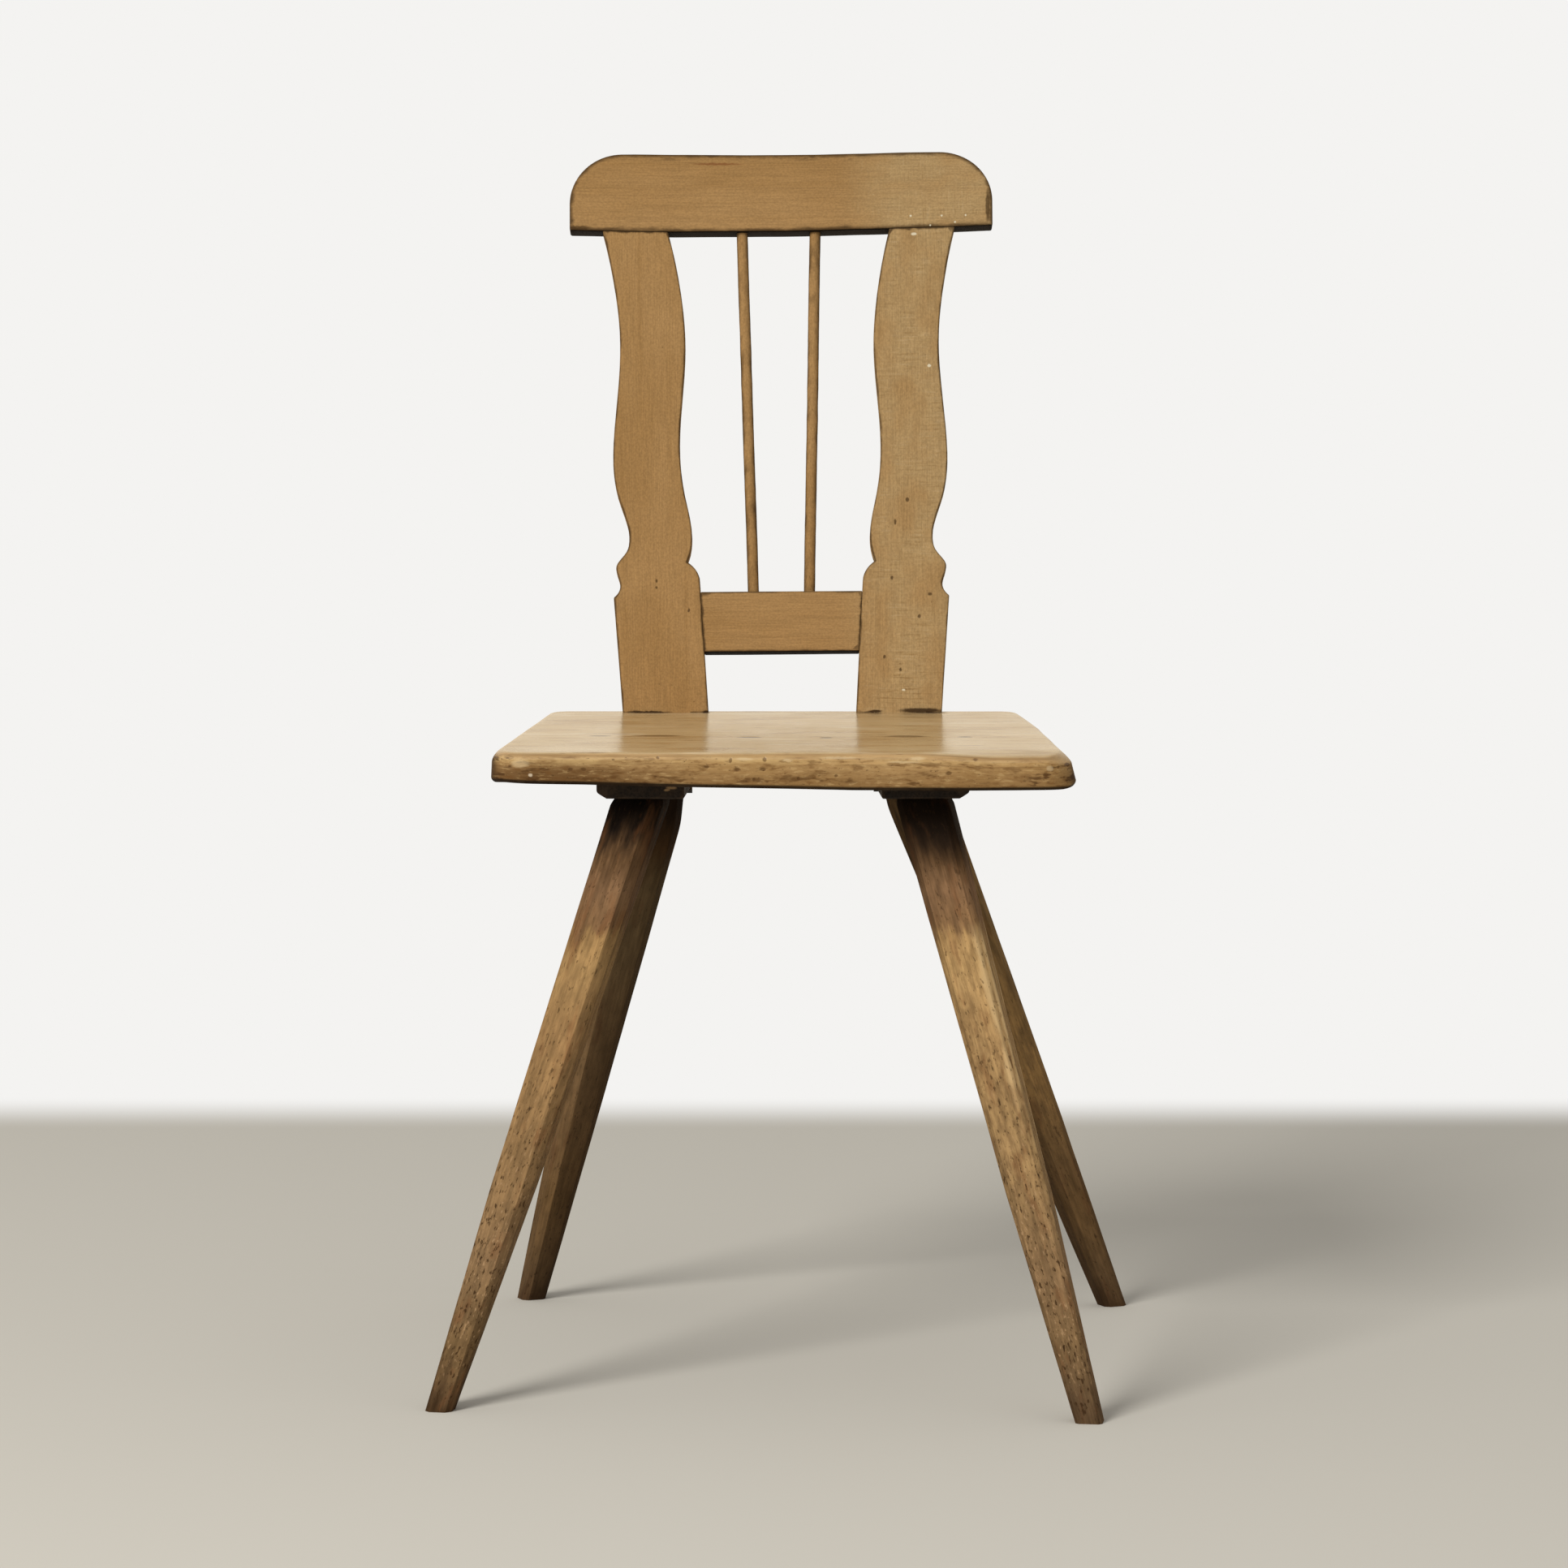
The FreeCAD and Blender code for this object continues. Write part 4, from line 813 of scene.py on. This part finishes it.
def shavedRodTree():
    tree, add, given = startTree("shavedRod", {"Vector": ("Start", "End"), "Float": ("Seed", *spindleSizes),
                                               "Int": ("Rings",), "Material": ("Material",)})
    rod = add("GeometryNodeCurvePrimitiveLine", {"Start": given["Start"], "End": given["End"]})
    rod = add("GeometryNodeResampleCurve", {"Curve": rod, "Count": given["Rings"]})
    spline = add("GeometryNodeSplineParameter", out=None).outputs
    left = add("Math", {0: 1, 1: spline["Factor"]}, operation="SUBTRACT")
    inside = add("Math", {0: spline["Factor"], 1: left}, operation="MULTIPLY")  # ends stay in place
    slow = add("Math", {0: spline["Factor"], 1: given["Sway Waves"], 2: given["Seed"]}, operation="MULTIPLY_ADD")
    wave = add("TexNoise", {"W": slow, "Scale": 1, "Detail": 1}, out="Color", noise_dimensions="1D")
    sway = add("VectorMath", {0: wave, 1: (0.5, 0.5, 0.5)}, operation="SUBTRACT")
    amount = add("Math", {0: inside, 1: given["Sway"]}, operation="MULTIPLY")
    sway = add("VectorMath", {0: sway, "Scale": amount}, operation="SCALE")
    rod = add("GeometryNodeSetPosition", {"Geometry": rod, "Offset": sway})
    quick = add("Math", {0: spline["Factor"], 1: given["Lump Waves"], 2: given["Seed"]}, operation="MULTIPLY_ADD")
    lumps = add("TexNoise", {"W": quick, "Scale": 1, "Detail": 1}, noise_dimensions="1D")
    lumps = add("MapRange", {0: lumps, 1: 0, 2: 1, 3: given["Thinnest"], 4: given["Thickest"]})
    girth = add("Math", {0: given["Radius"], 1: lumps}, operation="MULTIPLY")
    ring = add("GeometryNodeCurvePrimitiveCircle", {"Resolution": 24, "Radius": 1})
    kept = add("GeometryNodeCaptureAttribute", {0: rod}, out=None)
    kept.capture_items.new("FLOAT", "length")
    tree.links.new(spline["Length"], kept.inputs[1])
    skin = add("GeometryNodeCurveToMesh", {"Curve": kept.outputs[0], "Profile Curve": ring, "Scale": girth,
                                           "Fill Caps": True})
    spot = add("SeparateXYZ", {0: add("GeometryNodeInputPosition")}, out=None).outputs
    across = add("Math", {0: spot[0], 1: given["Seed"]}, operation="ADD")
    grain = add("CombineXYZ", {0: across, 1: spot[1], 2: kept.outputs[1]})
    skin = add("GeometryNodeStoreNamedAttribute", {"Geometry": skin, "Name": "grain", "Value": grain},
               data_type="FLOAT_VECTOR")
    # how far each point faces front or back; the glaze darkens where this is small, which paints shade down the rod's
    # sides
    facing = add("SeparateXYZ", {0: add("GeometryNodeInputNormal")}, out=1)
    clean = add("Math", {0: facing}, operation="ABSOLUTE")
    clean = add("Math", {0: clean, 1: given["Side Shade Width"]}, operation="MULTIPLY")
    skin = add("GeometryNodeStoreNamedAttribute", {"Geometry": skin, "Name": "arris", "Value": clean})
    endTree(add, skin, given["Material"])
    return tree


rodTree = shavedRodTree()
for side, name in ((-1, "left_spindle"), (1, "right_spindle")):
    low = Vector((side * spindlePlaces["foot"], spindlePlaces["depth"], spindlePlaces["low"]))
    high = Vector((side * spindlePlaces["head"], spindlePlaces["depth"], chair["backRise"]))
    along = (high - low).normalized() * spindlePlaces["sink"]
    values = {
        **spindleSizes, "Start": backFrame @ (low - along), "End": backFrame @ (high + along),
        "Rings": spindlePlaces["rings"], "Seed": spindlePlaces["seed"] + side, "Material": materials["glaze"],
    }
    standFor(runTree(rodTree, name + "Shaved", values), "ochre_glazed_wood", name)
print("spindles made")

# pegs: split dowels driven in from the rear, cut off just proud of the board, with a rubbed tip
pegSizes = {"Radius": 3.5 * mm, "Proud": 0.6 * mm, "Rubbed From": 0.97, "Tip Share": 0.82}
pegPlaces = {
    "crest_pegs": {"sizes": crestSizes, "depth": 18 * mm},
    "rail_pegs": {"sizes": stileSizes, "depth": 16 * mm},
}


def drivenPegsTree():
    tree, add, given = startTree("drivenPegs", {"Vector": ("First", "Second", "Axis"), "Float": ("Depth", *pegSizes),
                                                "Material": ("Material",)})
    step = add("VectorMath", {0: given["Second"], 1: given["First"]}, operation="SUBTRACT")
    spots = add("GeometryNodeMeshLine", {"Count": 2, "Start Location": given["First"], "Offset": step})
    inner = add("Math", {0: given["Depth"], 1: -1}, operation="MULTIPLY")
    dowel = add("GeometryNodeCurvePrimitiveLine", {"Start": add("CombineXYZ", {2: inner}),
                                                   "End": add("CombineXYZ", {2: given["Proud"]})})
    dowel = add("GeometryNodeResampleCurve", {"Curve": dowel, "Count": 40})
    along = add("GeometryNodeSplineParameter", out="Factor")
    girth = add("MapRange", {0: along, 1: given["Rubbed From"], 2: 1.0, 3: 1.0, 4: given["Tip Share"]})
    outline = add("GeometryNodeCurvePrimitiveCircle", {"Resolution": 9, "Radius": given["Radius"]})
    dowel = add("GeometryNodeCurveToMesh", {"Curve": dowel, "Profile Curve": outline, "Scale": girth,
                                            "Fill Caps": True})
    spot = add("GeometryNodeInputPosition")
    dowel = add("GeometryNodeStoreNamedAttribute", {"Geometry": dowel, "Name": "grain", "Value": spot},
                data_type="FLOAT_VECTOR")
    aim = add("FunctionNodeAlignRotationToVector", {"Vector": given["Axis"]}, axis="Z")
    pegs = add("GeometryNodeInstanceOnPoints", {"Points": spots, "Instance": dowel, "Rotation": aim})
    endTree(add, pegs, given["Material"])
    return tree


pegTree = drivenPegsTree()
for name, spot in pegPlaces.items():
    x, face, z = (spot["sizes"][size] for size in ("pegX", "thickness", "pegZ"))
    values = {
        **pegSizes, "First": backFrame @ Vector((-x, face, z)), "Second": backFrame @ Vector((x, face, z)),
        "Axis": backFrame.to_3x3() @ Vector((0, 1, 0)), "Depth": spot["depth"], "Material": materials["peg"],
    }
    standFor(runTree(pegTree, name + "Driven", values), "split_peg_wood", name)
print("pegs made")

# the wedges stay as they are, shut in between batten and seat
wedges = nodes["leg_wedges"]
wedges.data.materials.clear()
wedges.data.materials.append(materials["peg"])

# stage: a plain pale floor that fades to white at its edge
stageLook = {"floor": "#DAD4C7", "white": "#F4F3F1", "mirrored": "#FBECD4", "half": 1.34, "fadeFrom": 1.12,
             "ambient": "#FFFFFF", "ambientStrength": 0.42}


def paleFloor():
    material, add = startMaterial("paleFloor")
    away = add("VectorMath", {0: add("TexCoord", out="Object")}, operation="ABSOLUTE")
    parts = add("SeparateXYZ", {0: away}, out=None).outputs
    edge = add("Math", {0: parts[0], 1: parts[1]}, operation="MAXIMUM")
    fade = add("MapRange", {0: edge, 1: stageLook["fadeFrom"], 2: stageLook["half"], 3: 0, 4: 1},
               interpolation_type="SMOOTHSTEP")
    matt = add("BsdfDiffuse", {"Color": linear(stageLook["floor"])})
    glow = add("Emission", {"Color": linear(stageLook["white"]), "Strength": 1})
    mixed = add("MixShader", {0: fade, 1: matt, 2: glow})
    add("OutputMaterial", {"Surface": mixed}, out=None)
    return material


half = stageLook["half"]
floorMesh = bpy.data.meshes.new("floor")
floorMesh.from_pydata([(-half, -half, 0), (half, -half, 0), (half, half, 0), (-half, half, 0)], [], [(0, 1, 2, 3)])
floorMesh.materials.append(paleFloor())
floor = addObject("floor", floorMesh)

world = bpy.data.worlds.new("studio")
world.use_nodes = True
scene.world = world
world.node_tree.nodes.clear()
add = partial(addNode, world.node_tree)
rays = add("LightPath", out=None).outputs
seen = add("Math", {0: rays["Is Camera Ray"], 1: rays["Is Glossy Ray"]}, operation="MAXIMUM")
seen = add("Math", {0: seen, 1: rays["Is Transmission Ray"]}, operation="MAXIMUM")
wall = add("Mix", {0: rays["Is Glossy Ray"], 6: linear(stageLook["white"]), 7: linear(stageLook["mirrored"])},
           out=2, data_type="RGBA")
backdrop = add("Background", {"Color": wall, "Strength": 1})
ambient = add("Background", {"Color": linear(stageLook["ambient"]), "Strength": stageLook["ambientStrength"]})
both = add("MixShader", {0: seen, 1: ambient, 2: backdrop})
add("OutputWorld", {"Surface": both}, out=None)

# soft studio lamp: wide, high on the left front
lamp = {"from": Vector((-3.2, -4.6, 3.9)), "towards": Vector((0, 0, 0.5)), "size": 2.6, "watts": 300}
light = bpy.data.lights.new("key", "AREA")
light.shape = "DISK"
light.size = lamp["size"]
light.energy = lamp["watts"]
holder = addObject("key", light)
holder.location = lamp["from"]
holder.rotation_euler = (lamp["towards"] - lamp["from"]).to_track_quat("-Z", "Y").to_euler()

# camera: a long lens, level with the crest, looking a little down
view = {"from": (-5.3 * mm, -4716.2 * mm, 850 * mm), "down": math.radians(5.2445), "lens": 149.46, "sensor": 36,
        "farthest": 50}
cameraData = bpy.data.cameras.new("camera")
cameraData.lens = view["lens"]
cameraData.sensor_width = view["sensor"]
cameraData.sensor_height = view["sensor"]
cameraData.clip_end = view["farthest"]
camera = addObject("camera", cameraData)
camera.location = view["from"]
camera.rotation_euler = (math.pi / 2 - view["down"], 0, 0)
scene.camera = camera
print("stage, lamp and camera set")
